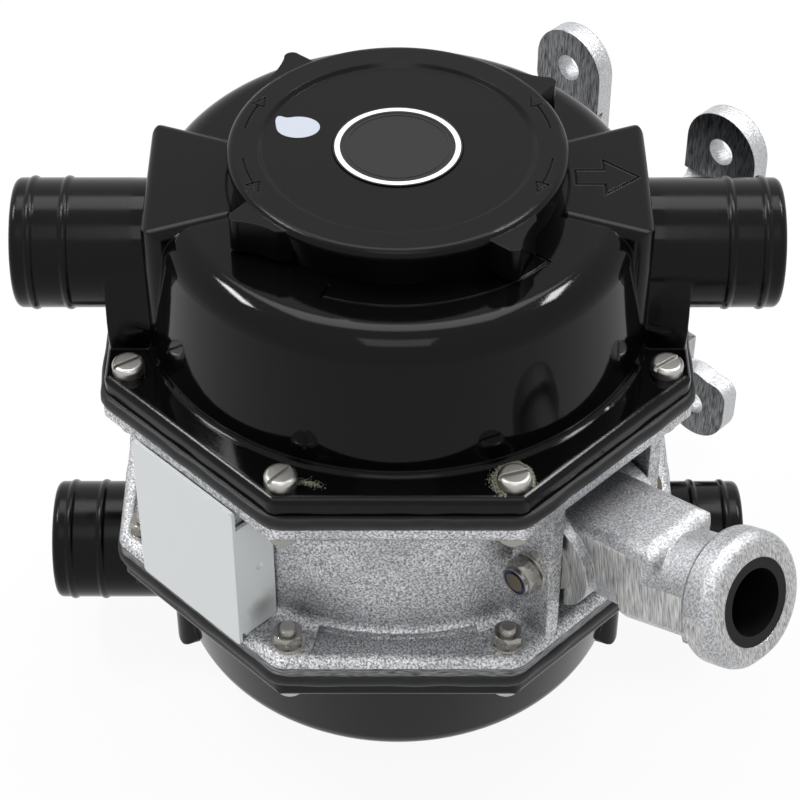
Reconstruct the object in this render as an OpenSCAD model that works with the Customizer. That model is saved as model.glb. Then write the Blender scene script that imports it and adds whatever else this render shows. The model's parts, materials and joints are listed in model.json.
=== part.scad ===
// Double acting diaphragm bilge pump, worked by a lever.
// Two identical moulded chambers are screwed to a cast centre body, one above and
// one below.  The lever rocks on a pivot in the casting and carries a link up and
// down, so one diaphragm draws while the other one drives.
// The origin is the middle of the four ear holes, on the face of the bulkhead.
// +X is the lever side, +Y points into the bulkhead and +Z is up.

/* [Centre casting] */
// How far a casting flange stands out from the drum, at the middle of a flat
flange_reach = 11.5; // [10.5:0.1:14]
// Thickness of each casting flange
casting_flange_t = 6; // [5:0.5:8]
// Half of the clear height between the two flanges
body_half = 25; // [24:0.5:28]
// Outside radius of the drum wall
drum_r = 74.5; // [73:0.5:75.5]
// Thickness of the drum wall
drum_wall = 6.5; // [5:0.5:8]
// Half of the gap between the two webs that carry the lever
lever_gap = 18.5; // [18:0.5:20]
// Half of the gap between the two webs of the blanked window
blank_gap = 15; // [14:0.5:16]
// Thickness of a web
web_t = 5; // [4:0.5:5.5]

/* [Bulkhead ears] */
// Distance between ear holes, across
ear_dx = 64; // [60:1:68]
// Distance between ear holes, up and down
ear_dz = 107; // [104:1:112]
// Diameter of an ear hole
ear_hole_d = 9; // [7:0.5:10]
// Radius of the rounded end of an ear
ear_r = 13.4; // [12:0.2:14]
// Thickness of an ear
ear_t = 6.3; // [6:0.1:9]
// Clear distance from the edge of the casting flange to the bulkhead
bulkhead_gap = 31; // [30:1:38]
// Width of the cast arm that carries an ear
arm_w = 7.5; // [6:0.5:9]

/* [Chambers] */
// How far a chamber flange stays inside the edge of the casting flange
chamber_inset = 1.2; // [0.5:0.1:3]
// Thickness of a chamber flange
chamber_flange_t = 6.1; // [5:0.1:8]
// Height of a chamber from its flange face to its deck
chamber_h = 50.5; // [49:0.5:54]
// How much wider the foot of the dome is than the drum, in radius
dome_step = 1; // [0.4:0.1:1.4]
// Radius of the rounded shoulder of the dome
shoulder_r = 9; // [7:0.5:11]
// Radius of the flat deck inside the shoulder
deck_r = 62; // [60:0.5:63]
// Wall thickness of the moulding
wall = 4; // [3:0.5:4.5]
// Half of the angle between the two sides of a valve box, degrees
box_angle = 21.3; // [20:0.1:22]
// Distance from the pump axis to the outer face of a valve box
box_reach = 72; // [71:0.5:74]
// Half of the width of the foot of the block under a hose tail
block_half = 23; // [22:0.2:25]
// How far the outer face of that block stays inside the edge of the flange
block_inset = 0.5; // [0:0.1:4]

/* [Hose tails] */
// Outside diameter of a hose tail, for the bore of the hose
tail_d = 38; // [36:0.5:39]
// Bore of a hose tail
tail_bore_d = 32; // [30:0.5:33]
// Distance from the pump axis to the end of a hose tail
tail_reach = 111.2; // [108:0.2:116]
// Height of a hose tail above the flange face of its chamber
tail_rise = 27.4; // [27:0.2:28.4]
// How far a sealing ring stands proud of the tail
barb_h = 0.6; // [0.4:0.1:1]

/* [Caps] */
// Radius of the rim of a cap
cap_r = 48.4; // [47:0.2:49]
// Height of the rim above the deck
cap_h = 13; // [12:0.5:15]
// Radius of the recessed top of a cap
cap_recess_r = 38.4; // [36:0.2:40]
// Depth of that recess
cap_recess_d = 1.2; // [0.8:0.1:2]
// Radius of the opening that a cap closes
opening_r = 39; // [38:0.5:40]
// Radius to the tips of the grip lugs
lug_tip_r = 56.2; // [55:0.2:57]
// Radius of the badge disc
badge_r = 18.4; // [16:0.2:20]

/* [Diaphragms] */
// How far the clamped rubber lip stands proud of the casting flange
lip_proud = 1; // [0.3:0.1:3]
// Thickness of the clamped lip
lip_t = 4.5; // [4:0.1:6]
// Thickness of the rubber inside the lip
rubber_t = 3; // [2.5:0.1:3.5]
// Radius of the outer clamp plate
plate_r = 28; // [26:0.5:28]
// Thickness of a clamp plate
plate_t = 3; // [2.5:0.1:4]
// Height of the roll of a diaphragm
roll_h = 9; // [8:0.5:10]

/* [Lever] */
// Distance from the outside of the drum to the lever pivot
pivot_offset = 3.5; // [3:0.1:4.5]
// Radius of the lever boss
boss_r = 16; // [15:0.5:17]
// Width of the cast lever arm
arm_block_w = 28; // [26:0.5:30]
// Reach of the socket mouth beyond the pivot
socket_x = 61.8; // [60:0.2:66]
// Height of the socket mouth above the pivot
socket_z = 15.8; // [15:0.2:18]
// Upward tilt of the socket, degrees
socket_tilt = 21.3; // [18:0.1:24]
// Bore of the socket liner, for the handle
handle_d = 19.6; // [18:0.1:21]
// Wall of the socket liner
liner_wall = 3.2; // [2.5:0.1:3.5]
// Depth of the socket
socket_depth = 38; // [34:0.5:40]
// Radius of the collar round the socket mouth
collar_r = 20; // [19:0.2:21]
// Length of the collar
collar_l = 10.5; // [9:0.5:12]
// Diameter of the pivot sleeve
sleeve_d = 12; // [11:0.5:13]
// Diameter of the link pin
link_pin_d = 12; // [10:0.5:12]
// Diameter of the link
link_d = 30; // [28:0.5:32]

/* [Valves] */
// Bore of a valve seat
port_d = 25; // [22:0.5:26]
// How far a flap laps its seat
flap_lap = 1.5; // [1:0.1:1.6]
// Thickness of a flap
flap_t = 2.5; // [2:0.1:3]

/* [Fasteners] */
// Distance from the outside of the drum to a flange screw
screw_offset = 9.6; // [9.2:0.1:10]
// Shank diameter of a flange screw
screw_d = 5; // [4:0.5:5.5]
// Diameter of a flange screw head
screw_head_d = 9.5; // [8.5:0.1:9.8]
// Height of a flange screw head
screw_head_h = 3.5; // [3:0.1:4]
// Width across flats of a flange nut
nut_af = 8; // [7:0.5:8.5]
// Thickness of a flange nut
nut_t = 4; // [3:0.1:4.5]
// Width across flats of the pivot nut
pivot_nut_af = 10; // [9:0.5:11]
// Shank diameter of the pivot bolt
pivot_bolt_d = 6; // [5:0.5:6.5]

/* [Cover plate] */
// Half of the width of the blanking cover
cover_half = 21.6; // [21:0.1:22.5]
// Half of the height of the cover face
cover_h = 27.5; // [26.5:0.1:28.5]
// Thickness of the cover sheet
cover_t = 1.2; // [1:0.1:1.2]

/* [Hidden] */
$fn = 96;

// Clearances
run_fit = 0.05;     // radial, a pin or shaft that turns in its hole
close_fit = 0.1;    // radial, a part that is pushed in and stays
screw_fit = 0.25;   // radial, a screw in its clearance hole
face_gap = 0.3;     // between faces of parts that move past each other
cut = 1;            // how far a cutting solid runs past a face

// Levels above the mid plane, which holds the origin
gasket_z = body_half + casting_flange_t;
seat_z = gasket_z + lip_t;
flange_top_z = seat_z + chamber_flange_t;
deck_z = seat_z + chamber_h;
ceiling_z = deck_z - wall;
tail_z = seat_z + tail_rise;
box_top_z = deck_z + 1;

// Outlines of the flanges, halves of the width across flats, and what stands on them
casting_af = drum_r + flange_reach;
bulkhead_y = casting_af + bulkhead_gap;
chamber_af = casting_af - chamber_inset;
lip_af = casting_af + lip_proud;
dome_foot_r = drum_r + dome_step;
block_reach = chamber_af - block_inset;
screw_circle = drum_r + screw_offset;
pivot_x = drum_r + pivot_offset;

// The hose tails lie on a diagonal of the octagon
port_angle = 45;
corner_angles = [for (i = [0:7]) 22.5 + 45 * i];

// Casting
drum_bore_r = drum_r - drum_wall;
web_end = casting_af - 1;
casting_edge_r = 3.5;
cove_r = 4;
window_half = body_half - 3;
recess_d = 1.6;
nut_room = 1;
arm_x = min(ear_dx / 2 - ear_r, screw_circle * sin(22.5) - nut_af / 2 - nut_room - arm_w);
ear_foot_z = seat_z + chamber_flange_t - 0.6;

// Chamber
side_draft = atan((dome_foot_r - deck_r - shoulder_r) / (deck_z - shoulder_r - flange_top_z));
shoulder_z = deck_z - shoulder_r;
foot_fillet = 1.6;
flange_edge_r = 2.2;
box_edge_r = 3.2;
pocket_half = port_d / 2 + flap_lap + 5;
box_half = box_reach * tan(box_angle);
pocket_floor_z = tail_z - pocket_half;
seat_x = 51;
seat_t = 5;
seat_flange_r = port_d / 2 + 4.5;
divider_t = 3;

// Flaps: the hinge sits above the seat and downstream of it
flap_r = port_d / 2 + flap_lap;
flap_pin_r = 1.5;
knuckle_r = 2.8;
hinge_rise = flap_r + 0.5;
hinge_off = seat_t / 2 + face_gap + knuckle_r;
knuckle_half = 6;
bracket_t = 2.6;

// Cap
tab_half_angle = 7;
tab_t = 3.4;
tab_reach = 2.5;
plug_depth = wall + tab_t + face_gap;
plug_r = opening_r - 0.08;
seal_r = 1.5;
lug_angles = [for (i = [0:3]) 35.5 + 90 * i];
lug_drop = 1.2;
lug_lift = box_top_z - deck_z + face_gap;

// Lever and link
centre_bolt_d = 8;
link_r = link_d / 2;
tongue_w = 14;
tongue_half = 9;
eye_r = link_pin_d / 2 + 4.5;
slot_half = eye_r + 5.5;
rock = 14;          // degrees each way
slide_slot = pivot_x / cos(rock) - pivot_x + 0.4;
bush_t = 2;
bush_lip_t = 1;
boss_w = 2 * (lever_gap - bush_lip_t - 0.2);
link_half = body_half + 3;
cheek_half = link_pin_d / 2 + 7;

// ---------- shared shapes ----------

// The pump is drawn round its own axis, which stands in front of the bulkhead
module on_axis() translate([0, -bulkhead_y, 0]) children();
module upper_side() on_axis() rotate([0, 0, port_angle]) children();
module lower_side() on_axis() rotate([0, 0, port_angle]) rotate([180, 0, 0]) children();
module both_sides() for (s = [0, 1]) mirror([0, 0, s]) children();

// Lies along +Y from the origin
module along_y() rotate([-90, 0, 0]) children();
module along_x() rotate([0, 90, 0]) children();

// Profile of one bar of an octagonal plate: top edge rounded by r
module bar_profile(half, t, r) {
    translate([-half, 0]) square([2 * half, t - r]);
    translate([-half + r, 0]) square([2 * (half - r), t]);
    for (s = [-1, 1]) translate([s * (half - r), t - r]) circle(r);
}

// Octagonal plate on z = 0: its top edge is rounded and so are its corners
module octagon_plate(half, t, r, corner_r)
    intersection() {
        intersection_for (a = [0:45:135])
            rotate([0, 0, a]) rotate([90, 0, 0]) translate([0, 0, -half - cut])
                linear_extrude(2 * (half + cut)) bar_profile(half, t, r);
        linear_extrude(t) offset(r = corner_r) rotate([0, 0, 22.5])
            circle((half - corner_r) / cos(22.5), $fn = 8);
    }

// Rounded rectangle by its corners
module rounded_rect(x0, y0, x1, y1, r) {
    translate([x0 + r, y0]) square([x1 - x0 - 2 * r, y1 - y0]);
    translate([x0, y0 + r]) square([x1 - x0, y1 - y0 - 2 * r]);
    for (x = [x0 + r, x1 - r], y = [y0 + r, y1 - r]) translate([x, y]) circle(r);
}

// A wedge of a disc between two angles, less than a half turn
module sector(r, a0, a1) {
    reach = 2 * r;
    intersection() {
        circle(r);
        polygon([[0, 0], reach * [cos(a0), sin(a0)],
                 reach * [cos((a0 + a1) / 2), sin((a0 + a1) / 2)], reach * [cos(a1), sin(a1)]]);
    }
}

module ring_sector(r0, r1, a0, a1)
    difference() {
        sector(r1, a0, a1);
        circle(r0);
    }

// Hexagon nut or head on z = 0, both faces chamfered
module hexagon(af, t) {
    corner = af / 2 / cos(30);
    rise = corner + t;
    intersection() {
        cylinder(r = corner, h = t, $fn = 6);
        translate([0, 0, -corner * 0.86]) cylinder(r1 = 0, r2 = 2 * rise, h = 2 * rise);
        translate([0, 0, t + corner * 0.86 - 2 * rise]) cylinder(r1 = 2 * rise, r2 = 0, h = 2 * rise);
    }
}

module tube(r_out, r_in, h)
    difference() {
        cylinder(r = r_out, h = h);
        translate([0, 0, -cut]) cylinder(r = r_in, h = h + 2 * cut);
    }

module at_corners() for (a = corner_angles) rotate([0, 0, a]) translate([screw_circle, 0, 0]) children();

// ---------- centre casting ----------

module casting_flange() {
    // the soft edge faces the mid plane
    translate([0, 0, gasket_z]) mirror([0, 0, 1])
        octagon_plate(casting_af, casting_flange_t, casting_edge_r, 8);
}

module drum_cove() {
    // fillet between the drum and a flange
    translate([0, 0, body_half]) rotate_extrude()
        difference() {
            translate([drum_r - cut, -cove_r]) square([cove_r + cut, cove_r + cut / 2]);
            translate([drum_r + cove_r, -cove_r]) circle(cove_r);
        }
}

// Sunk fields between the nut pads on the inner face of a flange
module flange_fields() {
    outer = casting_af - casting_edge_r - 0.5;
    reach = screw_circle * sin(22.5) - nut_af / 2;
    for (a = [0:45:315])
        rotate([0, 0, a]) translate([0, 0, body_half - cut]) linear_extrude(recess_d + cut)
            difference() {
                polygon([[0, -0.25 * reach], [outer, 2.7 - reach], [outer, reach - 2.7],
                         [0, 0.25 * reach]]);
                circle(drum_r + 0.5);
            }
}

module window_webs(gap) {
    for (s = [0, 1]) mirror([0, s, 0])
        translate([drum_bore_r + 1, gap, -body_half - cut])
            cube([web_end - drum_bore_r - 1, web_t, 2 * (body_half + cut)]);
}

module drum_window(gap)
    translate([drum_bore_r - 8, 0, 0]) along_x()
        linear_extrude(casting_af) rounded_rect(-window_half, -gap, window_half, gap, 4);

module pivot_hole(gap, d)
    translate([pivot_x, -gap - web_t - cut, 0]) along_y()
        cylinder(d = d, h = 2 * (gap + web_t + cut));

// One ear with its arm, in the quarter +X +Z; the arm's outline is in Y and Z
module ear() {
    hole = [ear_dx / 2, ear_dz / 2];
    inner_x = ear_dx / 2 - ear_r;
    outer_x = ear_dx / 2 + ear_r;
    corner = 5;
    front_y = bulkhead_y - ear_t;
    translate([0, bulkhead_y, 0]) rotate([90, 0, 0]) linear_extrude(ear_t) {
        translate(hole) circle(ear_r);
        translate([inner_x, ear_foot_z]) square([2 * ear_r - corner, hole[1] - ear_foot_z]);
        translate([inner_x, ear_foot_z + corner])
            square([2 * ear_r, hole[1] - ear_foot_z - corner]);
        translate([outer_x - corner, ear_foot_z + corner]) circle(corner);
    }
    translate([arm_x, 0, 0]) rotate([90, 0, 90]) linear_extrude(arm_w)
        difference() {
            polygon([[drum_r - 5, body_half - 14], [casting_af, body_half - 12],
                     [front_y, body_half + 2], [bulkhead_y, body_half + 6],
                     [bulkhead_y, ear_foot_z + 6], [front_y, ear_foot_z + 6],
                     [front_y, ear_foot_z - 2], [lip_af + 3, gasket_z],
                     [drum_r - 5, gasket_z]]);
            translate([lip_af + 3 + 14, ear_foot_z + 3]) circle(10);
        }
}

module centre_body() color("silver") on_axis()
    difference() {
        union() {
            translate([0, 0, -gasket_z]) cylinder(r = drum_r, h = 2 * gasket_z);
            both_sides() casting_flange();
            both_sides() drum_cove();
            window_webs(lever_gap);
            rotate([0, 0, -90]) window_webs(blank_gap);
            for (m = [0, 1]) mirror([m, 0, 0]) both_sides() ear();
        }
        translate([0, 0, -gasket_z - cut]) cylinder(r = drum_bore_r, h = 2 * (gasket_z + cut));
        drum_window(lever_gap);
        rotate([0, 0, -90]) drum_window(blank_gap);
        both_sides() difference() {
            flange_fields();
            for (a = [0, -90]) rotate([0, 0, a])
                translate([drum_r - 10, -lever_gap - web_t - 4, 0])
                    cube([casting_af, 2 * (lever_gap + web_t + 4), gasket_z]);
            translate([-ear_dx, drum_r - 10, 0]) cube([2 * ear_dx, casting_af, gasket_z]);
        }
        pivot_hole(lever_gap, pivot_bolt_d + 2 * close_fit);
        rotate([0, 0, -90]) pivot_hole(blank_gap, pivot_bolt_d + 2 * close_fit);
        at_corners() translate([0, 0, -gasket_z - cut])
            cylinder(d = screw_d + 2 * screw_fit, h = 2 * (gasket_z + cut));
        for (x = [-1, 1], z = [-1, 1])
            translate([x * ear_dx / 2, bulkhead_y - ear_t - cut, z * ear_dz / 2]) along_y()
                cylinder(d = ear_hole_d, h = ear_t + 2 * cut);
    }

// Bent sheet that blanks the window on the -Y side
module cover_plate() color("white") on_axis() {
    web_face = blank_gap + web_t;
    front_y = casting_af + close_fit + cover_t;
    side_y = sqrt(drum_r * drum_r - web_face * web_face) + 0.7;
    side_h = body_half - 0.3;
    notch = [1.2, 4.4];
    dent_r = 1.5;
    difference() {
        union() {
            translate([0, -front_y, 0]) rotate([-90, 0, 0]) linear_extrude(cover_t)
                rounded_rect(-cover_half, -cover_h, cover_half, cover_h, 1.2);
            for (s = [-1, 1])
                translate([s * (cover_half - cover_t / 2), -(front_y + side_y) / 2, 0])
                    cube([cover_t, front_y - side_y, 2 * side_h], center = true);
        }
        // corner notches that let the sheet fold
        for (x = [-1, 1], z = [0, 1])
            translate([x * cover_half, -front_y + cover_t + notch[z] / 2, (2 * z - 1) * side_h])
                cube([4 * cover_t, notch[z], 2 * notch[z]], center = true);
        // hollows that the dimples leave outside
        for (s = [-1, 1]) translate([s * (cover_half + dent_r / 2), -pivot_x, 0]) sphere(dent_r);
    }
    // dimples that snap into the pivot holes of the webs
    for (s = [-1, 1])
        translate([s * (cover_half - cover_t + 0.2), -pivot_x, 0]) along_x()
            mirror([0, 0, s > 0 ? 1 : 0])
                cylinder(r1 = 2.4, r2 = 1.4, h = cover_half - cover_t - web_face + 0.9);
}

// ---------- chambers ----------

module dome_outline() {
    edge = [deck_r + shoulder_r * cos(side_draft), shoulder_z + shoulder_r * sin(side_draft)];
    polygon([[0, seat_z], [dome_foot_r, seat_z], [dome_foot_r, flange_top_z], edge,
             [deck_r, shoulder_z + shoulder_r], [0, deck_z]]);
    translate([deck_r, shoulder_z]) circle(shoulder_r);
    difference() {
        translate([dome_foot_r - cut, flange_top_z - cut]) square(foot_fillet + cut);
        translate([dome_foot_r + foot_fillet, flange_top_z + foot_fillet]) circle(foot_fillet);
    }
}

module dome_space_outline() {
    inner_r = shoulder_r - wall;
    polygon([[0, seat_z - cut], [dome_foot_r - wall, seat_z - cut],
             [deck_r + inner_r, shoulder_z], [deck_r, ceiling_z], [0, ceiling_z]]);
    translate([deck_r, shoulder_z]) circle(inner_r);
}

// Plan of a valve box: it runs a little past the faces that trim it, and its corners are round
module valve_box_plan() {
    soft = 5;
    spare = 0.08;
    root = opening_r - 8;
    slope = tan(box_angle);
    mid_x = box_reach + spare - soft;
    mid_y = (box_reach + spare - soft) * slope - (soft - spare) / cos(box_angle);
    side_x = mid_x - soft * sin(box_angle);
    side_y = mid_y + soft * cos(box_angle);
    polygon([[root, -root * slope - 3], [side_x, -side_y], [mid_x, -mid_y],
             [mid_x + soft, -mid_y], [mid_x + soft, mid_y], [mid_x, mid_y],
             [side_x, side_y], [root, root * slope + 3]]);
    for (s = [-1, 1]) translate([mid_x, s * mid_y]) circle(soft);
}

// Valve box: its sides lie on radii of the chamber, its top edges are round, and it is cut away
// round the cap
module valve_box() {
    difference() {
        intersection() {
            translate([0, 0, flange_top_z - cut]) linear_extrude(chamber_h) valve_box_plan();
            translate([0, 1.1 * box_half, 0]) rotate([90, 0, 0]) linear_extrude(2.2 * box_half)
                rounded_rect(0, 0, box_reach, box_top_z, 2.2);
            intersection_for (s = [-1, 1]) rotate([0, 0, s * box_angle]) rotate([90, 0, 90])
                linear_extrude(1.2 * box_reach) mirror([s > 0 ? 1 : 0, 0, 0])
                    rounded_rect(0, 0, 4 * box_half, box_top_z, box_edge_r);
        }
        translate([0, 0, deck_z]) cylinder(r = cap_r + 2 * face_gap, h = box_top_z);
    }
}

// Block that stands on the flange under a hose tail: its sides lean in and run into the tail
module tail_block() {
    root_x = dome_foot_r - 16;
    sink = 0.15;
    rise = tail_z - flange_top_z;
    meet_r = tail_d / 2 - sink;
    meet = acos(meet_r / norm([block_half, rise])) - atan(rise / block_half);
    touch = [meet_r * cos(meet), tail_z + meet_r * sin(meet)];
    foot = [block_half, flange_top_z];
    intersection() {
        translate([root_x, 0, 0]) rotate([90, 0, 90]) linear_extrude(block_reach)
            polygon([[-foot[0], foot[1] - cut], [foot[0], foot[1] - cut], foot, touch,
                     [-touch[0], touch[1]], [-foot[0], foot[1]]]);
        linear_extrude(tail_z + tail_d) rounded_rect(root_x + 1, -block_half - 1, block_reach,
                                                     block_half + 1, 3);
    }
}

module hose_tail_outline() {
    tail_r = tail_d / 2;
    end_r = 2;
    start = seat_x;
    translate([0, start]) square([tail_r, tail_reach - end_r - start]);
    translate([0, start]) square([tail_r - end_r, tail_reach - start]);
    translate([tail_r - end_r, tail_reach - end_r]) circle(end_r);
    for (back = [15.6, 5.6])
        translate([tail_r + barb_h - 1.6, tail_reach - back]) circle(1.6);
}

module hose_tail() translate([0, 0, tail_z]) along_x() rotate_extrude() hose_tail_outline();

// The walls round one valve pocket, kept when the dome is hollowed
module pocket_walls() {
    inner_x = seat_x - divider_t / 2;
    translate([inner_x, -pocket_half - divider_t, pocket_floor_z])
        cube([box_reach, 2 * (pocket_half + divider_t), chamber_h]);
}

module valve_pocket() {
    x0 = seat_x + divider_t / 2;
    floor_z = pocket_floor_z + divider_t;
    translate([x0, -pocket_half, floor_z])
        cube([box_reach - wall - x0, 2 * pocket_half, ceiling_z - floor_z]);
}

module pocket_bores() {
    translate([seat_x - seat_t / 2 - close_fit, 0, tail_z]) along_x()
        cylinder(r = seat_flange_r, h = seat_t + 2 * close_fit);
    translate([box_reach - wall - cut, 0, tail_z]) along_x()
        cylinder(d = tail_bore_d, h = tail_reach);
}

// Opening under a cap, with four notches that let its tabs through
module cap_opening(depth) {
    translate([0, 0, deck_z - depth]) cylinder(r = opening_r, h = depth + cut);
    translate([0, 0, deck_z - depth]) linear_extrude(depth + cut)
        for (a = lug_angles)
            sector(opening_r + tab_reach + face_gap, a + 45 - tab_half_angle - 2, a + 45 + tab_half_angle + 2);
}

module arrow_2d(l, w) {
    shaft = 0.42 * w;
    head = 0.56 * l;
    polygon([[0, -shaft / 2], [l - head, -shaft / 2], [l - head, -w / 2], [l, 0],
             [l - head, w / 2], [l - head, shaft / 2], [0, shaft / 2]]);
}

module engraved_arrow(l, w, line)
    difference() {
        arrow_2d(l, w);
        offset(delta = -line) arrow_2d(l, w);
    }

// Sunk outline of the bare label field on the deck
module label_outline(line) {
    a0 = -112;
    a1 = -41;
    r0 = cap_r + 1.5;
    r1 = 55.6;
    ring_sector(r1 - line, r1, a0, a1);
    for (a = [a0, a1])
        rotate([0, 0, a]) translate([r0, -line / 2]) square([r1 - r0, line]);
}

module chamber() {
    engrave = 0.5;
    difference() {
        union() {
            translate([0, 0, seat_z]) octagon_plate(chamber_af, chamber_flange_t, flange_edge_r, 5);
            rotate_extrude() dome_outline();
            for (s = [0, 180]) rotate([0, 0, s]) {
                valve_box();
                tail_block();
                hose_tail();
            }
        }
        difference() {
            rotate_extrude() dome_space_outline();
            for (s = [0, 180]) rotate([0, 0, s]) pocket_walls();
        }
        for (s = [0, 180]) rotate([0, 0, s]) {
            valve_pocket();
            pocket_bores();
        }
        cap_opening(wall + cut);
        at_corners() translate([0, 0, seat_z - cut])
            cylinder(d = screw_d + 2 * screw_fit, h = chamber_flange_t + 2 * cut);
        translate([cap_r + 2, 0, box_top_z - engrave]) linear_extrude(2 * engrave)
            engraved_arrow(19, 17, 0.6);
        translate([0, 0, deck_z - engrave]) linear_extrude(engrave + cut) label_outline(0.6);
    }
}

module upper_chamber() color([0.05, 0.05, 0.06]) upper_side() chamber();
module lower_chamber() color([0.05, 0.05, 0.06]) lower_side() chamber();

// ---------- diaphragms and clamp plates ----------

// The roll between the clamp plates and the lip sags toward the mid plane
module diaphragm() {
    roll_in = plate_r + 3;
    roll_out = drum_bore_r - 3;
    roll_mid = (roll_in + roll_out) / 2;
    roll_half = (roll_out - roll_in) / 2;
    arc_r = (roll_half * roll_half + roll_h * roll_h) / (2 * roll_h);
    hole_r = centre_bolt_d / 2 + close_fit;
    difference() {
        translate([0, 0, gasket_z]) intersection() {
            octagon_plate(lip_af, lip_t, 1.2, 8);
            translate([0, 0, lip_t]) mirror([0, 0, 1]) octagon_plate(lip_af, lip_t, 1, 8);
        }
        translate([0, 0, gasket_z - cut]) cylinder(r = roll_out, h = lip_t + 2 * cut);
        at_corners() translate([0, 0, gasket_z - cut])
            cylinder(d = screw_d + 2 * screw_fit, h = lip_t + 2 * cut);
    }
    translate([0, 0, gasket_z + rubber_t / 2]) rotate_extrude() {
        translate([hole_r, -rubber_t / 2]) square([roll_in + 0.6 - hole_r, rubber_t]);
        translate([roll_out - 0.6, -rubber_t / 2]) square([1, rubber_t]);
        intersection() {
            translate([roll_mid, arc_r - roll_h]) difference() {
                circle(arc_r + rubber_t / 2);
                circle(arc_r - rubber_t / 2);
            }
            translate([roll_in, -2 * roll_h]) square([2 * roll_half, 2 * roll_h + rubber_t / 2]);
        }
    }
}

module upper_diaphragm() color([0.12, 0.12, 0.12]) upper_side() diaphragm();
module lower_diaphragm() color([0.12, 0.12, 0.12]) lower_side() diaphragm();

module inner_plate() translate([0, 0, gasket_z - plate_t])
    rotate_extrude() {
        plate_edge = plate_r + 2;
        hole_r = centre_bolt_d / 2 + close_fit;
        translate([hole_r, 0]) square([plate_edge - hole_r - 1.5, plate_t]);
        translate([hole_r, 1.5]) square([plate_edge - hole_r, plate_t - 1.5]);
        translate([plate_edge - 1.5, 1.5]) circle(1.5);
    }

module outer_plate() translate([0, 0, gasket_z + rubber_t])
    rotate_extrude() {
        hole_r = centre_bolt_d / 2 + close_fit;
        translate([hole_r, 0]) square([plate_r - hole_r, plate_t - 1.5]);
        translate([hole_r, 0]) square([plate_r - 1.5 - hole_r, plate_t]);
        translate([plate_r - 1.5, plate_t - 1.5]) circle(1.5);
        translate([hole_r, 0]) square([6, plate_t + 1.5]);
    }

module centre_bolt() {
    head_z = gasket_z + rubber_t + plate_t + 1.5;
    translate([0, 0, head_z]) hexagon(13, 5.3);
    translate([0, 0, slot_half]) cylinder(d = centre_bolt_d, h = head_z - slot_half + 0.1);
}

module upper_inner_plate() color("gainsboro") upper_side() inner_plate();
module lower_inner_plate() color("gainsboro") lower_side() inner_plate();
module upper_outer_plate() color("gainsboro") upper_side() outer_plate();
module lower_outer_plate() color("gainsboro") lower_side() outer_plate();
module upper_centre_bolt() color("lightgray") upper_side() centre_bolt();
module lower_centre_bolt() color("lightgray") lower_side() centre_bolt();

// ---------- link ----------

module link() color("silver") on_axis()
    difference() {
        translate([0, 0, -link_half]) cylinder(r = link_r, h = 2 * link_half);
        // slot for the lever tongue
        cube([2 * link_d, tongue_w + 2 * face_gap, 2 * slot_half], center = true);
        // flats for the pin head and its clip
        for (s = [-1, 1]) translate([0, s * (cheek_half + link_r), 0])
            cube([2 * link_d, 2 * link_r, 2 * (eye_r + 2)], center = true);
        translate([0, -link_d, 0]) along_y() cylinder(d = link_pin_d + 2 * close_fit, h = 2 * link_d);
        both_sides() translate([0, 0, slot_half - cut])
            cylinder(d = centre_bolt_d + 2 * close_fit, h = link_half - slot_half + 2 * cut);
    }

clip_t = 1.4;
module link_pin() color("lightgray") on_axis() {
    end_y = cheek_half + 3.4;
    translate([0, -cheek_half, 0]) difference() {
        union() {
            along_y() cylinder(d = link_pin_d, h = cheek_half + end_y);
            rotate([90, 0, 0]) cylinder(d = link_pin_d + 4, h = 2.2);
        }
        translate([0, 2 * cheek_half + 0.2, 0]) along_y()
            tube(link_pin_d, link_pin_d / 2 - 1, clip_t + 0.1);
    }
}

module link_pin_clip() color("dimgray") on_axis()
    translate([0, cheek_half + 0.25, 0]) along_y() difference() {
        tube(link_pin_d / 2 + 2, link_pin_d / 2 - 1 + close_fit, clip_t - 0.05);
        translate([0, -link_pin_d / 4, -cut]) cube([link_pin_d, link_pin_d / 2, clip_t + 2 * cut]);
    }

// ---------- lever ----------

// The pivot is the origin; x runs out along the pump's +X
module socket_axis() translate([socket_x, 0, socket_z]) rotate([0, 90 - socket_tilt, 0]) children();

// Upper end of the block's top face, and the way that face runs
block_tilt = 0.55 * socket_tilt;
block_end = [socket_x - 27, socket_z + 7.4];
block_along = [cos(block_tilt), sin(block_tilt)];
block_up = [-block_along[1], block_along[0]];
block_top = block_end * block_up;

module lever_side_outline() {
    nose = 5;
    nose_centre = block_end - nose * block_along - nose * block_up;
    polygon([[-2, boss_r - 1], [2, boss_r + 2], nose_centre + nose * block_up,
             nose_centre + nose * block_along, [socket_x - 25, socket_z - 4],
             [socket_x - 14, socket_z - 11], [socket_x - 19, socket_z - 17],
             [socket_x - 33, socket_z - 22], [socket_x - 46, socket_z - 24], [0, -boss_r + 5]]);
    translate(nose_centre) circle(nose);
}

module lever_arm_outline_top() {
    half = arm_block_w / 2;
    end_x = socket_x - 25;
    translate([-boss_r, -half]) square([end_x - 6 + boss_r, 2 * half]);
    translate([-boss_r, -half + 6]) square([end_x + boss_r, 2 * half - 12]);
    for (s = [-1, 1]) translate([end_x - 6, s * (half - 6)]) circle(6);
    translate([end_x - 10, -half + 5]) square([14, 2 * half - 10]);
}

// Cross section of the cast arm: rounded top, flat sides, narrower keel
module lever_section() {
    half = arm_block_w / 2;
    soft = 4;
    side_foot = -4;
    translate([-half, side_foot]) square([2 * half, block_top - soft - side_foot]);
    translate([soft - half, 0]) square([2 * (half - soft), block_top]);
    for (s = [-1, 1]) translate([s * (half - soft), block_top - soft]) circle(soft);
    polygon([[-half, side_foot], [half, side_foot], [half - 4, -14], [4 - half, -14]]);
}

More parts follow.
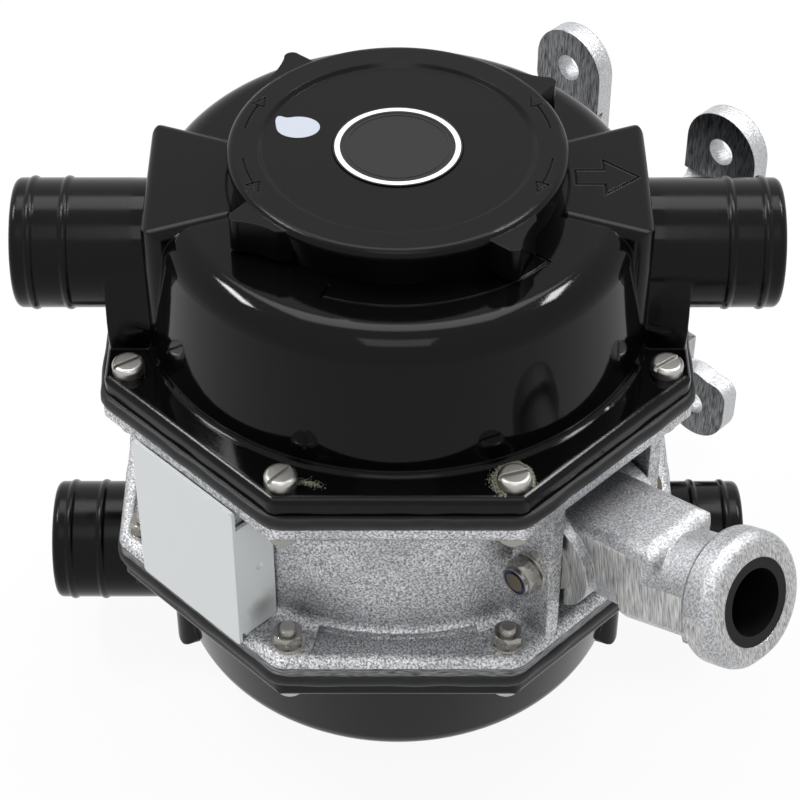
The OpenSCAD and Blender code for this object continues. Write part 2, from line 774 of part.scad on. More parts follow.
module lever_block() intersection() {
    translate([0, arm_block_w / 2, 0]) rotate([90, 0, 0]) linear_extrude(arm_block_w) lever_side_outline();
    translate([0, 0, -boss_r]) linear_extrude(4 * boss_r) lever_arm_outline_top();
    rotate([0, -block_tilt, 0]) rotate([90, 0, 90]) translate([0, 0, -boss_r * 2])
        linear_extrude(socket_x + boss_r * 3) lever_section();
}

module lever_neck() socket_axis() {
    neck_r = collar_r - 4.6;
    floor_t = 3;
    // ground flat on both flanks, level with the arm
    intersection() {
        translate([0, 0, -socket_depth - floor_t])
            cylinder(r = neck_r, h = socket_depth + floor_t - collar_l + 1);
        translate([-2 * neck_r, -arm_block_w / 2, -socket_depth - 2 * floor_t])
            cube([4 * neck_r, arm_block_w, 2 * socket_depth]);
    }
    // keel under the neck
    translate([0, 0, -collar_l - 14]) rotate([0, 0, 0])
        intersection() {
            cylinder(r = neck_r + 2.6, h = 15);
            translate([0, -8, -cut]) cube([collar_r, 16, 20]);
        }
}

module lever_collar() socket_axis() {
    edge = 4;
    face_r = collar_r - edge;
    back = 1.6;
    intersection() {
        rotate_extrude() translate([0, -collar_l]) {
            square([face_r, collar_l]);
            translate([0, back]) square([collar_r, collar_l - edge - back]);
            square([collar_r - back, collar_l - edge]);
            translate([face_r, collar_l - edge]) circle(edge);
            translate([collar_r - back, back]) circle(back);
        }
        // flat along the underside of the collar
        translate([-2 * collar_r, -2 * collar_r, -collar_l - cut])
            cube([3 * collar_r - 2.4, 4 * collar_r, collar_l + 2 * cut]);
    }
}

module lever_tongue() {
    root_x = boss_r - 6;
    difference() {
        union() {
            translate([0, tongue_w / 2, 0]) rotate([90, 0, 0]) linear_extrude(tongue_w)
                polygon([[-root_x, -tongue_half - 3], [-root_x, tongue_half + 3],
                         [-pivot_x / 2, tongue_half], [-pivot_x, tongue_half],
                         [-pivot_x, -tongue_half], [-pivot_x / 2, -tongue_half]]);
            translate([-pivot_x, -tongue_w / 2, 0]) along_y() cylinder(r = eye_r, h = tongue_w);
            translate([-pivot_x - slide_slot, -tongue_w / 2, 0]) along_y()
                cylinder(r = eye_r, h = tongue_w);
        }
        // lightening pockets leave an I section
        for (s = [-1, 1]) translate([-pivot_x / 2 + 3, s * (tongue_w / 2), 0])
            cube([pivot_x / 2 - 14, tongue_w / 2.4, tongue_half * 1.1], center = true);
    }
}

module lever_slot() {
    slot_r = link_pin_d / 2 + face_gap;
    for (x = [-pivot_x - slide_slot, -pivot_x + 0.2])
        translate([x, -tongue_w, 0]) along_y() cylinder(r = slot_r, h = 2 * tongue_w);
    translate([-pivot_x - slide_slot, -tongue_w, -slot_r])
        cube([slide_slot + 0.2, 2 * tongue_w, 2 * slot_r]);
}

module lever() color("silver") on_axis() translate([pivot_x, 0, 0])
    difference() {
        union() {
            translate([0, -boss_w / 2, 0]) along_y() cylinder(r = boss_r, h = boss_w);
            lever_block();
            lever_neck();
            lever_collar();
            lever_tongue();
        }
        socket_axis() translate([0, 0, -socket_depth])
            cylinder(r = handle_d / 2 + liner_wall, h = socket_depth + cut);
        translate([0, -boss_w, 0]) along_y()
            cylinder(d = sleeve_d + 2 * (run_fit + bush_t), h = 2 * boss_w);
        lever_slot();
    }

module socket_liner() color([0.1, 0.1, 0.1]) on_axis() translate([pivot_x, 0, 0]) socket_axis()
    difference() {
        translate([0, 0, -socket_depth + 0.2])
            cylinder(r = handle_d / 2 + liner_wall - close_fit, h = socket_depth - 0.4);
        translate([0, 0, -socket_depth + 3]) cylinder(d = handle_d, h = socket_depth);
    }

module pivot_bushes() color("darkkhaki") on_axis() translate([pivot_x, 0, 0])
    for (s = [0, 1]) mirror([0, s, 0]) translate([0, boss_w / 2 - 12, 0]) along_y() {
        tube(sleeve_d / 2 + run_fit + bush_t - 0.02, sleeve_d / 2 + run_fit, 12 + 0.5);
        translate([0, 0, 12]) tube(sleeve_d / 2 + bush_t + 2, sleeve_d / 2 + run_fit, bush_lip_t);
    }

module pivot_sleeve() color("lightgray") on_axis() translate([pivot_x, -lever_gap, 0]) along_y()
    tube(sleeve_d / 2, pivot_bolt_d / 2 + close_fit, 2 * lever_gap);

// ---------- pivot fasteners: the nut is on the -Y side ----------

pivot_washer_t = 1.2;
pivot_face = lever_gap + web_t + pivot_washer_t;
pivot_nut_t = 4.6;

module pivot_bolt() color("lightgray") on_axis() translate([pivot_x, 0, 0]) {
    translate([0, pivot_face, 0]) along_y() hexagon(pivot_nut_af, 4);
    translate([0, -pivot_face - pivot_nut_t - 1.6, 0]) along_y()
        cylinder(d = pivot_bolt_d, h = 2 * pivot_face + pivot_nut_t + 1.8);
}

module pivot_washers() color("lightgray") on_axis() translate([pivot_x, 0, 0])
    for (s = [0, 1]) mirror([0, s, 0]) translate([0, lever_gap + web_t, 0]) along_y()
        tube(pivot_nut_af / 2 + 1, pivot_bolt_d / 2 + close_fit, pivot_washer_t);

module pivot_nut() color("lightgray") on_axis() translate([pivot_x, -pivot_face, 0]) rotate([90, 0, 0])
    difference() {
        union() {
            rotate([0, 0, 20]) hexagon(pivot_nut_af, pivot_nut_t);
            cylinder(r = pivot_nut_af / 2 - 0.5, h = pivot_nut_t + 1.4);
        }
        translate([0, 0, -cut]) cylinder(d = pivot_bolt_d + 0.04, h = pivot_nut_t + 4);
        translate([0, 0, pivot_nut_t - 0.8]) cylinder(r = pivot_bolt_d / 2 + 1.1, h = 4);
    }

module pivot_nut_insert() color("royalblue") on_axis() translate([pivot_x, -pivot_face, 0])
    rotate([90, 0, 0]) translate([0, 0, pivot_nut_t - 0.8])
        tube(pivot_bolt_d / 2 + 1.08, pivot_bolt_d / 2 + 0.02, 1.8);

// ---------- flange fasteners ----------

washer_t = 1;
slot_angles = [8, 152, 34, 100, 10, 160, 85, 60];
tip_l = 2.2;
thread_depth = 0.4;

module pan_screw(slot_angle) {
    head_r = screw_head_d / 2;
    nut_end = body_half - washer_t - nut_t;
    translate([0, 0, nut_end]) cylinder(d = screw_d, h = flange_top_z - nut_end + 0.1);
    translate([0, 0, nut_end - tip_l]) cylinder(d = screw_d - 2 * thread_depth, h = tip_l + 0.1);
    translate([0, 0, flange_top_z]) difference() {
        rotate_extrude() {
            square([head_r - 1.3, screw_head_h]);
            square([head_r, screw_head_h - 1.3]);
            translate([head_r - 1.3, screw_head_h - 1.3]) circle(1.3);
        }
        rotate([0, 0, slot_angle]) translate([0, 0, screw_head_h])
            cube([2 * screw_head_d, 1.2, 2 * 1.3], center = true);
    }
}

module flange_screws()
    for (i = [0:7]) rotate([0, 0, corner_angles[i]]) translate([screw_circle, 0, 0])
        pan_screw(slot_angles[i]);

module flange_nuts()
    for (i = [0:7]) rotate([0, 0, corner_angles[i]])
        translate([screw_circle, 0, body_half - washer_t]) mirror([0, 0, 1])
            rotate([0, 0, slot_angles[7 - i]]) difference() {
                hexagon(nut_af, nut_t);
                translate([0, 0, -cut]) cylinder(d = screw_d + 0.04, h = nut_t + 2 * cut);
            }

module flange_washers()
    at_corners() translate([0, 0, body_half - washer_t])
        tube(nut_af / 2 + 1.1, screw_d / 2 + close_fit, washer_t);

module upper_flange_screws() color("lightgray") upper_side() flange_screws();
module lower_flange_screws() color("lightgray") lower_side() flange_screws();
module upper_flange_nuts() color("lightgray") upper_side() flange_nuts();
module lower_flange_nuts() color("lightgray") lower_side() flange_nuts();
module upper_flange_washers() color("lightgray") upper_side() flange_washers();
module lower_flange_washers() color("lightgray") lower_side() flange_washers();

// ---------- valves: the flow runs along +X of the chamber ----------

module at_inlet() translate([-seat_x, 0, tail_z]) children();
module at_outlet() translate([seat_x, 0, tail_z]) children();

module valve_seat() {
    cheek_x = divider_t / 2 + face_gap;
    difference() {
        union() {
            translate([-seat_t / 2, 0, 0]) along_x() cylinder(r = seat_flange_r - close_fit, h = seat_t);
            // two cheeks that hold the hinge pin
            for (s = [0, 1]) mirror([0, s, 0]) {
                translate([cheek_x, knuckle_half + face_gap, hinge_rise - knuckle_r])
                    cube([hinge_off - cheek_x, bracket_t, 2 * knuckle_r]);
                translate([hinge_off, knuckle_half + face_gap, hinge_rise]) along_y()
                    cylinder(r = knuckle_r, h = bracket_t);
            }
        }
        translate([-seat_t, 0, 0]) along_x() cylinder(d = port_d, h = 2 * seat_t);
        translate([hinge_off, -2 * knuckle_half, hinge_rise]) along_y()
            cylinder(r = flap_pin_r + 0.02, h = 4 * knuckle_half);
    }
}

module valve_flap()
    difference() {
        union() {
            translate([seat_t / 2 + face_gap, 0, 0]) along_x() cylinder(r = flap_r, h = flap_t);
            translate([seat_t / 2 + face_gap, -knuckle_half, hinge_rise - knuckle_r - 2.5])
                cube([flap_t, 2 * knuckle_half, knuckle_r + 2.5]);
            translate([hinge_off, -knuckle_half, hinge_rise]) along_y()
                cylinder(r = knuckle_r, h = 2 * knuckle_half);
            // stiffening rib across the back
            translate([seat_t / 2 + face_gap + flap_t - 0.5, -1.2, -flap_r + 3])
                cube([1.7, 2.4, 2 * flap_r - 6]);
        }
        translate([hinge_off, -2 * knuckle_half, hinge_rise]) along_y()
            cylinder(r = flap_pin_r + run_fit, h = 4 * knuckle_half);
        // room for the cheeks of the seat
        for (s = [0, 1]) mirror([0, s, 0])
            translate([0, knuckle_half, hinge_rise - knuckle_r - 2 * face_gap])
                cube([2 * hinge_off, flap_r, 2 * flap_r]);
    }

module valve_pin() translate([hinge_off, -knuckle_half - face_gap - bracket_t, hinge_rise])
    along_y() cylinder(r = flap_pin_r, h = 2 * (knuckle_half + face_gap + bracket_t));

module upper_inlet_seat() color("dimgray") upper_side() at_inlet() valve_seat();
module upper_outlet_seat() color("dimgray") upper_side() at_outlet() valve_seat();
module lower_inlet_seat() color("dimgray") lower_side() at_inlet() valve_seat();
module lower_outlet_seat() color("dimgray") lower_side() at_outlet() valve_seat();
module upper_inlet_pin() color("lightgray") upper_side() at_inlet() valve_pin();
module upper_outlet_pin() color("lightgray") upper_side() at_outlet() valve_pin();
module lower_inlet_pin() color("lightgray") lower_side() at_inlet() valve_pin();
module lower_outlet_pin() color("lightgray") lower_side() at_outlet() valve_pin();
module upper_inlet_flap() color([0.2, 0.2, 0.2]) upper_side() at_inlet() valve_flap();
module upper_outlet_flap() color([0.2, 0.2, 0.2]) upper_side() at_outlet() valve_flap();
module lower_inlet_flap() color([0.2, 0.2, 0.2]) lower_side() at_inlet() valve_flap();
module lower_outlet_flap() color([0.2, 0.2, 0.2]) lower_side() at_outlet() valve_flap();

// ---------- caps ----------

// Heights here are above the deck
module cap_outline() {
    foot_r = cap_r - 1.9;
    edge = 2;
    seal_z = -wall / 2;
    difference() {
        union() {
            polygon([[0, close_fit], [foot_r, close_fit], [cap_r, cap_h - edge - 1],
                     [cap_r, cap_h - edge], [cap_r - edge, cap_h], [0, cap_h]]);
            translate([cap_r - edge, cap_h - edge]) circle(edge);
            translate([0, -plug_depth]) square([plug_r, plug_depth + 1]);
        }
        // recessed top with a bevelled step, and the seat of the badge
        polygon([[0, cap_h - cap_recess_d], [cap_recess_r, cap_h - cap_recess_d],
                 [cap_recess_r + cap_recess_d + 0.4, cap_h + 0.4], [0, cap_h + 0.4]]);
        translate([0, cap_h - cap_recess_d - 0.5]) square([badge_r + 0.2, 1]);
        // groove of the seal
        translate([plug_r - 2 * seal_r - close_fit, seal_z - seal_r - close_fit])
            square([3 * seal_r, 2 * (seal_r + close_fit)]);
        // hollow underside
        translate([0, -plug_depth - cut]) square([opening_r - 6, plug_depth + cap_h - 4.5 + cut]);
    }
}

// Grip lug: one flank is short and steep, the other long and hollow
module lug_2d() {
    tip = 2.4;
    tip_x = lug_tip_r - tip;
    root = cap_r - 3;
    hollow = 26;
    difference() {
        polygon([[root, -4.6], [cap_r, -3.9], [tip_x, -tip], [tip_x + 0.7 * tip, 0.7 * tip],
                 [cap_r + 0.6, 11.6], [root, 14]]);
        translate([lug_tip_r - 4.6, 6.2]) rotate([0, 0, -57]) translate([0, hollow]) circle(hollow);
    }
    translate([tip_x, 0]) circle(tip);
}

// Line arrow that follows the rim, pointing to larger angles
module turn_arrow_2d(a) {
    line = 0.5;
    mid_r = (cap_r + cap_recess_r) / 2 + 0.6;
    ring_sector(mid_r - line / 2, mid_r + line / 2, a, a + 15);
    rotate([0, 0, a + 15]) translate([mid_r, 0]) rotate([0, 0, 90]) difference() {
        polygon([[0, -2.3], [5, 0], [0, 2.3]]);
        offset(delta = -line) polygon([[0, -2.3], [5, 0], [0, 2.3]]);
    }
}

module cap() {
    translate([0, 0, deck_z]) difference() {
        union() {
            rotate_extrude() cap_outline();
            translate([0, 0, lug_lift]) linear_extrude(cap_h - lug_drop - lug_lift)
                for (a = lug_angles) rotate([0, 0, a]) lug_2d();
            // tabs that hook under the deck
            translate([0, 0, -plug_depth]) linear_extrude(tab_t)
                for (a = lug_angles) intersection() {
                    ring_sector(plug_r - 2, opening_r + tab_reach, a - tab_half_angle, a + tab_half_angle);
                    circle(opening_r + tab_reach);
                }
        }
        translate([0, 0, cap_h - 0.4]) linear_extrude(1)
            for (s = [0, 180]) rotate([0, 0, s]) for (m = [0, 1]) mirror([0, m, 0]) turn_arrow_2d(9);
    }
}

module cap_seal() translate([0, 0, deck_z - wall / 2])
    rotate_extrude() translate([plug_r - seal_r, 0]) circle(seal_r);

module cap_badge() translate([0, 0, deck_z + cap_h - cap_recess_d - 0.5]) {
    tube(badge_r, badge_r - 2.8, 0.9);
    cylinder(r = badge_r - 1.4, h = 0.8);
    tube(badge_r - 3.6, badge_r - 4.1, 0.9);
}

module upper_cap() color([0.08, 0.08, 0.08]) upper_side() cap();
module lower_cap() color([0.08, 0.08, 0.08]) lower_side() cap();
module upper_cap_seal() color([0.15, 0.15, 0.15]) upper_side() cap_seal();
module lower_cap_seal() color([0.15, 0.15, 0.15]) lower_side() cap_seal();
module upper_cap_badge() color("white") upper_side() cap_badge();
module lower_cap_badge() color("white") lower_side() cap_badge();

centre_body();
cover_plate();
upper_chamber();
lower_chamber();
upper_diaphragm();
lower_diaphragm();
upper_flange_screws();
lower_flange_screws();
upper_flange_nuts();
lower_flange_nuts();
upper_flange_washers();
lower_flange_washers();
upper_inlet_seat();
upper_outlet_seat();
lower_inlet_seat();
lower_outlet_seat();
upper_inlet_pin();
upper_outlet_pin();
lower_inlet_pin();
lower_outlet_pin();
upper_inlet_flap();
upper_outlet_flap();
lower_inlet_flap();
lower_outlet_flap();
upper_cap();
lower_cap();
upper_cap_seal();
lower_cap_seal();
upper_cap_badge();
lower_cap_badge();
lever();
socket_liner();
pivot_bushes();
pivot_sleeve();
pivot_bolt();
pivot_washers();
pivot_nut();
pivot_nut_insert();
link();
link_pin();
link_pin_clip();
upper_inner_plate();
lower_inner_plate();
upper_outer_plate();
lower_outer_plate();
upper_centre_bolt();
lower_centre_bolt();
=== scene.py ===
"""Finishes, rubber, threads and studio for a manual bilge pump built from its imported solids."""

import json
import math
import random

import bmesh
import bpy
from mathutils import Matrix, Vector


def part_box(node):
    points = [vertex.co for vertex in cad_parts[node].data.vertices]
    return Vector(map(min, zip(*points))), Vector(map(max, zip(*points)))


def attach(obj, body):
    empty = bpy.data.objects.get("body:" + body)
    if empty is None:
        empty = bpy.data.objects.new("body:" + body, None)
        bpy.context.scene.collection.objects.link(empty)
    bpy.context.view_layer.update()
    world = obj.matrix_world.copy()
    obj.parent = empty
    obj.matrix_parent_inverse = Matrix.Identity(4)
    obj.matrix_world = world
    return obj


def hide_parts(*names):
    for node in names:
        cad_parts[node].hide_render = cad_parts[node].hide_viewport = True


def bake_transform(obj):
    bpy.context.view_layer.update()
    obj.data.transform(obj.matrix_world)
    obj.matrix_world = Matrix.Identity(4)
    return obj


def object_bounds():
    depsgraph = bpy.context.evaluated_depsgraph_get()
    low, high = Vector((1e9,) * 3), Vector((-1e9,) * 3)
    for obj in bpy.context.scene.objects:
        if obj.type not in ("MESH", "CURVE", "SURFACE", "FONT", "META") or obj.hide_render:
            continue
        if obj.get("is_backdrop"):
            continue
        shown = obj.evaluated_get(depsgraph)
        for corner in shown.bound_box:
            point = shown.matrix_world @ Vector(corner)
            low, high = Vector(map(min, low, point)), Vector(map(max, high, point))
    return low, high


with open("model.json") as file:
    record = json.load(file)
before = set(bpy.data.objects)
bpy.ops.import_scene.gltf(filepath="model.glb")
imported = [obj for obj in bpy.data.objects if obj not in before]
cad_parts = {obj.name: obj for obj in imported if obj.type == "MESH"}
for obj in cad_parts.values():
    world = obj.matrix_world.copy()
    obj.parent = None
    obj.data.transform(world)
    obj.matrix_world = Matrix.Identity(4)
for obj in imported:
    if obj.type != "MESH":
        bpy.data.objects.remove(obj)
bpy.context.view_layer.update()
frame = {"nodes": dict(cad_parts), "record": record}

bl_info = {
    "name": "Bilge Pump Dresser",
    "version": (1, 0, 0),
    "blender": (4, 5, 0),
    "location": "View3D > Sidebar > Bilge Pump",
    "description": "Gives the pump's solids their finishes and adds rubber, threads and trim",
    "category": "Object",
}

MM = 0.001
NODES = frame["nodes"]
JOINTS = {joint["name"]: joint for joint in frame["record"]["behaviour"]["joints"]}
PUMP_AXIS = Vector(JOINTS["upper_cap_turn"]["pos_m"]).to_2d()
PORT_TURN = math.radians(45)    # the hose tails stand halfway between lever and bulkhead

# places on the solids, in millimetres from the pump's axis and mid plane
FLANGE_TOP = 41.6       # top of the upper chamber's flange
SCREW_CIRCLE = 84.1     # radius of the circle of the flange screws
FIRST_SCREW = 22.5      # degrees from the ports to the first screw
TAIL_START = 76.0       # where the tails leave their boxes
RIM_DEPTH = 29.3        # middle of the casting's rim over the lower lip
EAR_DEPTH = 20.0        # how far the ears reach from the bulkhead
FLANK_OFF = 12.0        # the lever's flanks lie further than this from its middle
SOCKET_TILT = math.radians(21.3)    # the handle socket over the lever's arm


# ---------------------------------------------------------------- helpers


def linear(hex_colour):
    """sRGB hex text to a linear colour with alpha."""
    parts = [int(hex_colour.lstrip("#")[i : i + 2], 16) / 255 for i in (0, 2, 4)]
    return (*[c / 12.92 if c <= 0.04045 else ((c + 0.055) / 1.055) ** 2.4 for c in parts], 1.0)


def add(tree, kind, inputs=None, **settings):
    """Adds one node: settings are its properties, inputs its values or sockets to link."""
    node = tree.nodes.new(kind)
    for name, value in settings.items():
        setattr(node, name, value)
    for key, value in (inputs or {}).items():
        if isinstance(value, bpy.types.NodeSocket):
            tree.links.new(value, node.inputs[key])
        else:
            node.inputs[key].default_value = value
    return node


def new_material(name):
    """An empty material and its node tree."""
    material = bpy.data.materials.new(name)
    material.use_nodes = True
    material.node_tree.nodes.clear()
    return material, material.node_tree


def finish_material(tree, shader):
    """Leads a shader to the material's surface."""
    add(tree, "ShaderNodeOutputMaterial", {"Surface": shader.outputs[0]})


def dress(node, material):
    """Gives a solid of the frame its finish."""
    mesh = NODES[node].data
    mesh.materials.clear()
    mesh.materials.append(material)


def mesh_piece(name, build, material, smooth=True):
    """A new piece whose mesh is filled by build(bm), in metres and in the pump's frame."""
    bm = bmesh.new()
    build(bm)
    bmesh.ops.recalc_face_normals(bm, faces=bm.faces)
    mesh = bpy.data.meshes.new(name)
    bm.to_mesh(mesh)
    bm.free()
    if smooth:
        mesh.shade_smooth()
    mesh.materials.append(material)
    piece = bpy.data.objects.new(name, mesh)
    bpy.context.scene.collection.objects.link(piece)
    return piece


def on_axis(x, y, z):
    """A point in millimetres from the pump's axis and mid plane, as metres in the frame."""
    return Vector((x * MM + PUMP_AXIS.x, y * MM + PUMP_AXIS.y, z * MM))


def along_ports(x, y, z):
    """The same, but x runs along the hose tails of the upper chamber."""
    turn = Matrix.Rotation(PORT_TURN, 2)
    across = turn @ Vector((x, y))
    return on_axis(across.x, across.y, z)


def turned(radius, angle, z):
    """The same by radius and angle, counted from the lever side."""
    return on_axis(radius * math.cos(angle), radius * math.sin(angle), z)


def ring_faces(bm, rings, closed_ring=True):
    """Joins closed rows of vertices that follow each other into quads."""
    count = len(rings)
    for i in range(count if closed_ring else count - 1):
        a, b = rings[i], rings[(i + 1) % count]
        for k in range(len(a)):
            n = (k + 1) % len(a)
            bm.faces.new((a[k], b[k], b[n], a[n]))


# ---------------------------------------------------------------- finishes


def place_of(tree):
    """The point of the surface in the pump's own frame, in metres."""
    return add(tree, "ShaderNodeTexCoord").outputs["Object"]


def bumped(tree, height, depth, strength=1.0, edge=0.0):
    """A bump of the given depth in metres, laid over softened edges where edge is a radius."""
    inputs = {"Height": height, "Strength": strength, "Distance": depth}
    if edge:
        soft = add(tree, "ShaderNodeBevel", {"Radius": edge}, samples=4)
        inputs["Normal"] = soft.outputs["Normal"]
    return add(tree, "ShaderNodeBump", inputs).outputs["Normal"]


def blend_values(tree, mask, low, high):
    """Low where the mask is 0, high where it is 1; each is a number or a socket."""
    return add(tree, "ShaderNodeMix", {"Factor": mask, "A": low, "B": high},
               data_type="FLOAT").outputs["Result"]


def blend_colours(tree, mask, low, high):
    """The same for colours."""
    return add(tree, "ShaderNodeMix", {0: mask, 6: low, 7: high}, data_type="RGBA").outputs[2]


def abs_polished_mould(colour, ripple_depth):
    """ABS moulded in a polished tool: deep black, clear reflections with a slow ripple."""
    material, tree = new_material("abs_polished_mould")
    place = place_of(tree)
    # flow ripple 14 mm long
    ripple = add(tree, "ShaderNodeTexNoise", {"Vector": place, "Scale": 70.0, "Detail": 2.0})
    # dust and handling marks, 0.8 mm across
    marks = add(tree, "ShaderNodeTexNoise", {"Vector": place, "Scale": 1250.0, "Detail": 3.0})
    rough = add(tree, "ShaderNodeMapRange", {"Value": marks.outputs["Fac"], "From Min": 0.4,
                                             "From Max": 0.75, "To Min": 0.05, "To Max": 0.12})
    # the tails come from an unpolished slide and are rougher
    way = Vector((math.cos(PORT_TURN), math.sin(PORT_TURN), 0.0))
    along = add(tree, "ShaderNodeVectorMath", {0: place, 1: way}, operation="DOT_PRODUCT")
    out = add(tree, "ShaderNodeMath", {0: along.outputs["Value"], 1: way.dot(on_axis(0, 0, 0))},
              operation="SUBTRACT")
    away = add(tree, "ShaderNodeMath", {0: out.outputs[0]}, operation="ABSOLUTE")
    tail = add(tree, "ShaderNodeMapRange", {
        "Value": away.outputs[0], "From Min": (TAIL_START - 1) * MM,
        "From Max": (TAIL_START + 1) * MM, "To Max": 0.12})
    rougher = add(tree, "ShaderNodeMath", {0: rough.outputs["Result"], 1: tail.outputs["Result"]},
                  operation="ADD")
    shader = add(tree, "ShaderNodeBsdfPrincipled", {
        "Base Color": linear(colour), "Roughness": rougher.outputs[0], "IOR": 1.5,
        "Specular IOR Level": 0.15,
        "Normal": bumped(tree, ripple.outputs["Fac"], ripple_depth, edge=0.8 * MM)})
    finish_material(tree, shader)
    return material


def abs_satin_mould(colour):
    """ABS moulded in a vapour honed tool: even satin black, reflections only as a haze."""
    material, tree = new_material("abs_satin_mould")
    # honed grain 0.3 mm wide, drawn 0.5 mm wide so that it shows
    grain = add(tree, "ShaderNodeTexNoise", {"Vector": place_of(tree), "Scale": 2000.0,
                                             "Detail": 2.0})
    shader = add(tree, "ShaderNodeBsdfPrincipled", {
        "Base Color": linear(colour), "Roughness": 0.24, "IOR": 1.5, "Specular IOR Level": 0.14,
        "Normal": bumped(tree, grain.outputs["Fac"], 0.008 * MM, edge=0.6 * MM)})
    finish_material(tree, shader)
    return material


def aluminium_casting(name, colour, dent_colour, linished, scratch_and_shade_colours):
    """Aluminium, gravity cast and bead blasted: grey, speckled, every dent catching light.

    linished(tree, place) gives the mask of the faces ground on a belt, which show fine
    parallel scratches in the scratch and shade colours, the coordinates along which those run, and
    the share by which the speckle fades where hands have rubbed it. On the body those colours
    are dark, painted shade laid over the real scratches.
    """
    material, tree = new_material(name)
    place = place_of(tree)
    # dents of the beads 0.3 mm wide, in clusters 0.7 mm wide so that they show
    dents = add(tree, "ShaderNodeTexNoise", {"Vector": place, "Scale": 1500.0, "Detail": 3.0,
                                             "Roughness": 0.75})
    # slow unevenness of the blasting, 25 mm long
    stains = add(tree, "ShaderNodeTexNoise", {"Vector": place, "Scale": 40.0, "Detail": 6.0})
    mask, lie, rubbed = linished(tree, place)
    # belt scratches 0.2 mm wide, drawn 0.4 mm wide so that they show, and some 4 mm long
    scratches = add(tree, "ShaderNodeTexNoise", {"Vector": lie, "Scale": 2600.0, "Detail": 3.0})
    speckle = add(tree, "ShaderNodeMapRange", {"Value": dents.outputs["Fac"], "From Min": 0.4,
                                               "From Max": 0.6})
    # where it fades, the speckle nears its middle tone
    fine = blend_values(tree, rubbed, speckle.outputs["Result"], 0.55)
    tone = add(tree, "ShaderNodeMapRange", {"Value": stains.outputs["Fac"], "From Min": 0.3,
                                            "From Max": 0.55, "To Min": 0.6})
    lines = add(tree, "ShaderNodeMapRange", {"Value": scratches.outputs["Fac"], "From Min": 0.3,
                                             "From Max": 0.68})
    blasted = blend_colours(tree, fine, linear(dent_colour), linear(colour))
    stained = blend_colours(tree, tone.outputs["Result"], linear("#6C6E72"), blasted)
    # real belt scratches; on the body their dark colours are painted shade for the dark
    # surroundings that the ground faces reflect
    streaks = blend_colours(tree, lines.outputs["Result"], *map(linear, scratch_and_shade_colours))
    height = blend_values(tree, mask, dents.outputs["Fac"], scratches.outputs["Fac"])
    depth = blend_values(tree, mask, 1.0, 0.25)
    shader = add(tree, "ShaderNodeBsdfPrincipled", {
        "Base Color": blend_colours(tree, mask, stained, streaks), "Metallic": 1.0,
        "Roughness": blend_values(tree, mask, 0.36, 0.3),
        "Normal": bumped(tree, height, 0.3 * MM, strength=depth, edge=0.7 * MM)})
    finish_material(tree, shader)
    return material


def facing(tree, x, y, z, least):
    """1 where the surface faces the given way or its opposite, by at least that cosine."""
    normal = add(tree, "ShaderNodeNewGeometry").outputs["True Normal"]
    dot = add(tree, "ShaderNodeVectorMath", {0: normal, 1: (x, y, z)}, operation="DOT_PRODUCT")
    size = add(tree, "ShaderNodeMath", {0: dot.outputs["Value"]}, operation="ABSOLUTE")
    return add(tree, "ShaderNodeMath", {0: size.outputs[0], 1: least},
               operation="GREATER_THAN").outputs[0]


def stretched(tree, place, turn, stretch):
    """Coordinates turned and then squeezed, so that a noise in them draws long streaks."""
    return add(tree, "ShaderNodeMapping", {"Vector": place, "Rotation": turn, "Scale": stretch},
               vector_type="TEXTURE").outputs["Vector"]


def stainless_headed(colour, roughness=0.14):
    """Stainless steel, cold headed and tumbled: bright and a little worn."""
    material, tree = new_material("stainless_headed")
    # tumbling marks 0.7 mm wide
    marks = add(tree, "ShaderNodeTexNoise", {"Vector": place_of(tree), "Scale": 1400.0,
                                             "Detail": 3.0})
    shader = add(tree, "ShaderNodeBsdfPrincipled", {
        "Base Color": linear(colour), "Metallic": 1.0, "Roughness": roughness,
        "Normal": bumped(tree, marks.outputs["Fac"], 0.02 * MM, edge=0.3 * MM)})
    finish_material(tree, shader)
    return material


def enamel_on_sheet(colour):
    """White stove enamel on bent sheet: clean gloss, faint orange peel, one frayed grey spot."""
    material, tree = new_material("enamel_on_sheet")
    place = place_of(tree)
    # orange peel 2 mm long
    peel = add(tree, "ShaderNodeTexNoise", {"Vector": place, "Scale": 500.0, "Detail": 1.0})
    # the mark is about 8 mm wide and frayed, low on the side toward the lever
    spot = on_axis(21.6, -78.0, -17.5)
    away = add(tree, "ShaderNodeVectorMath", {0: place, 1: spot}, operation="DISTANCE")
    # noise that frays the edge of the grey spot
    rubbed = add(tree, "ShaderNodeTexNoise", {"Vector": place, "Scale": 300.0, "Detail": 4.0})
    reach = add(tree, "ShaderNodeMath", {0: rubbed.outputs["Fac"], 1: 6 * MM, 2: 3.5 * MM},
                operation="MULTIPLY_ADD")
    mark = add(tree, "ShaderNodeMapRange", {"Value": away.outputs["Value"],
                                            "From Min": reach.outputs[0], "From Max": 1 * MM,
                                            "To Max": 0.7})
    shader = add(tree, "ShaderNodeBsdfPrincipled", {
        "Base Color": blend_colours(tree, mark.outputs["Result"], linear(colour),
                                    linear("#8E8E8C")),
        "Roughness": 0.3,
        "Normal": bumped(tree, peel.outputs["Fac"], 0.01 * MM, edge=0.5 * MM)})
    finish_material(tree, shader)
    return material


def nitrile_rubber(colour):
    """Nitrile rubber, pressed in a mould: dull black with a grey bloom."""
    material, tree = new_material("nitrile_rubber")
    # bloom 5 mm long
    bloom = add(tree, "ShaderNodeTexNoise", {"Vector": place_of(tree), "Scale": 200.0,
                                             "Detail": 4.0})
    shader = add(tree, "ShaderNodeBsdfPrincipled", {
        "Base Color": blend_colours(tree, bloom.outputs["Fac"], linear(colour), linear("#222325")),
        "Roughness": 0.45, "Specular IOR Level": 0.3,
        "Normal": bumped(tree, bloom.outputs["Fac"], 0.06 * MM)})
    finish_material(tree, shader)
    return material


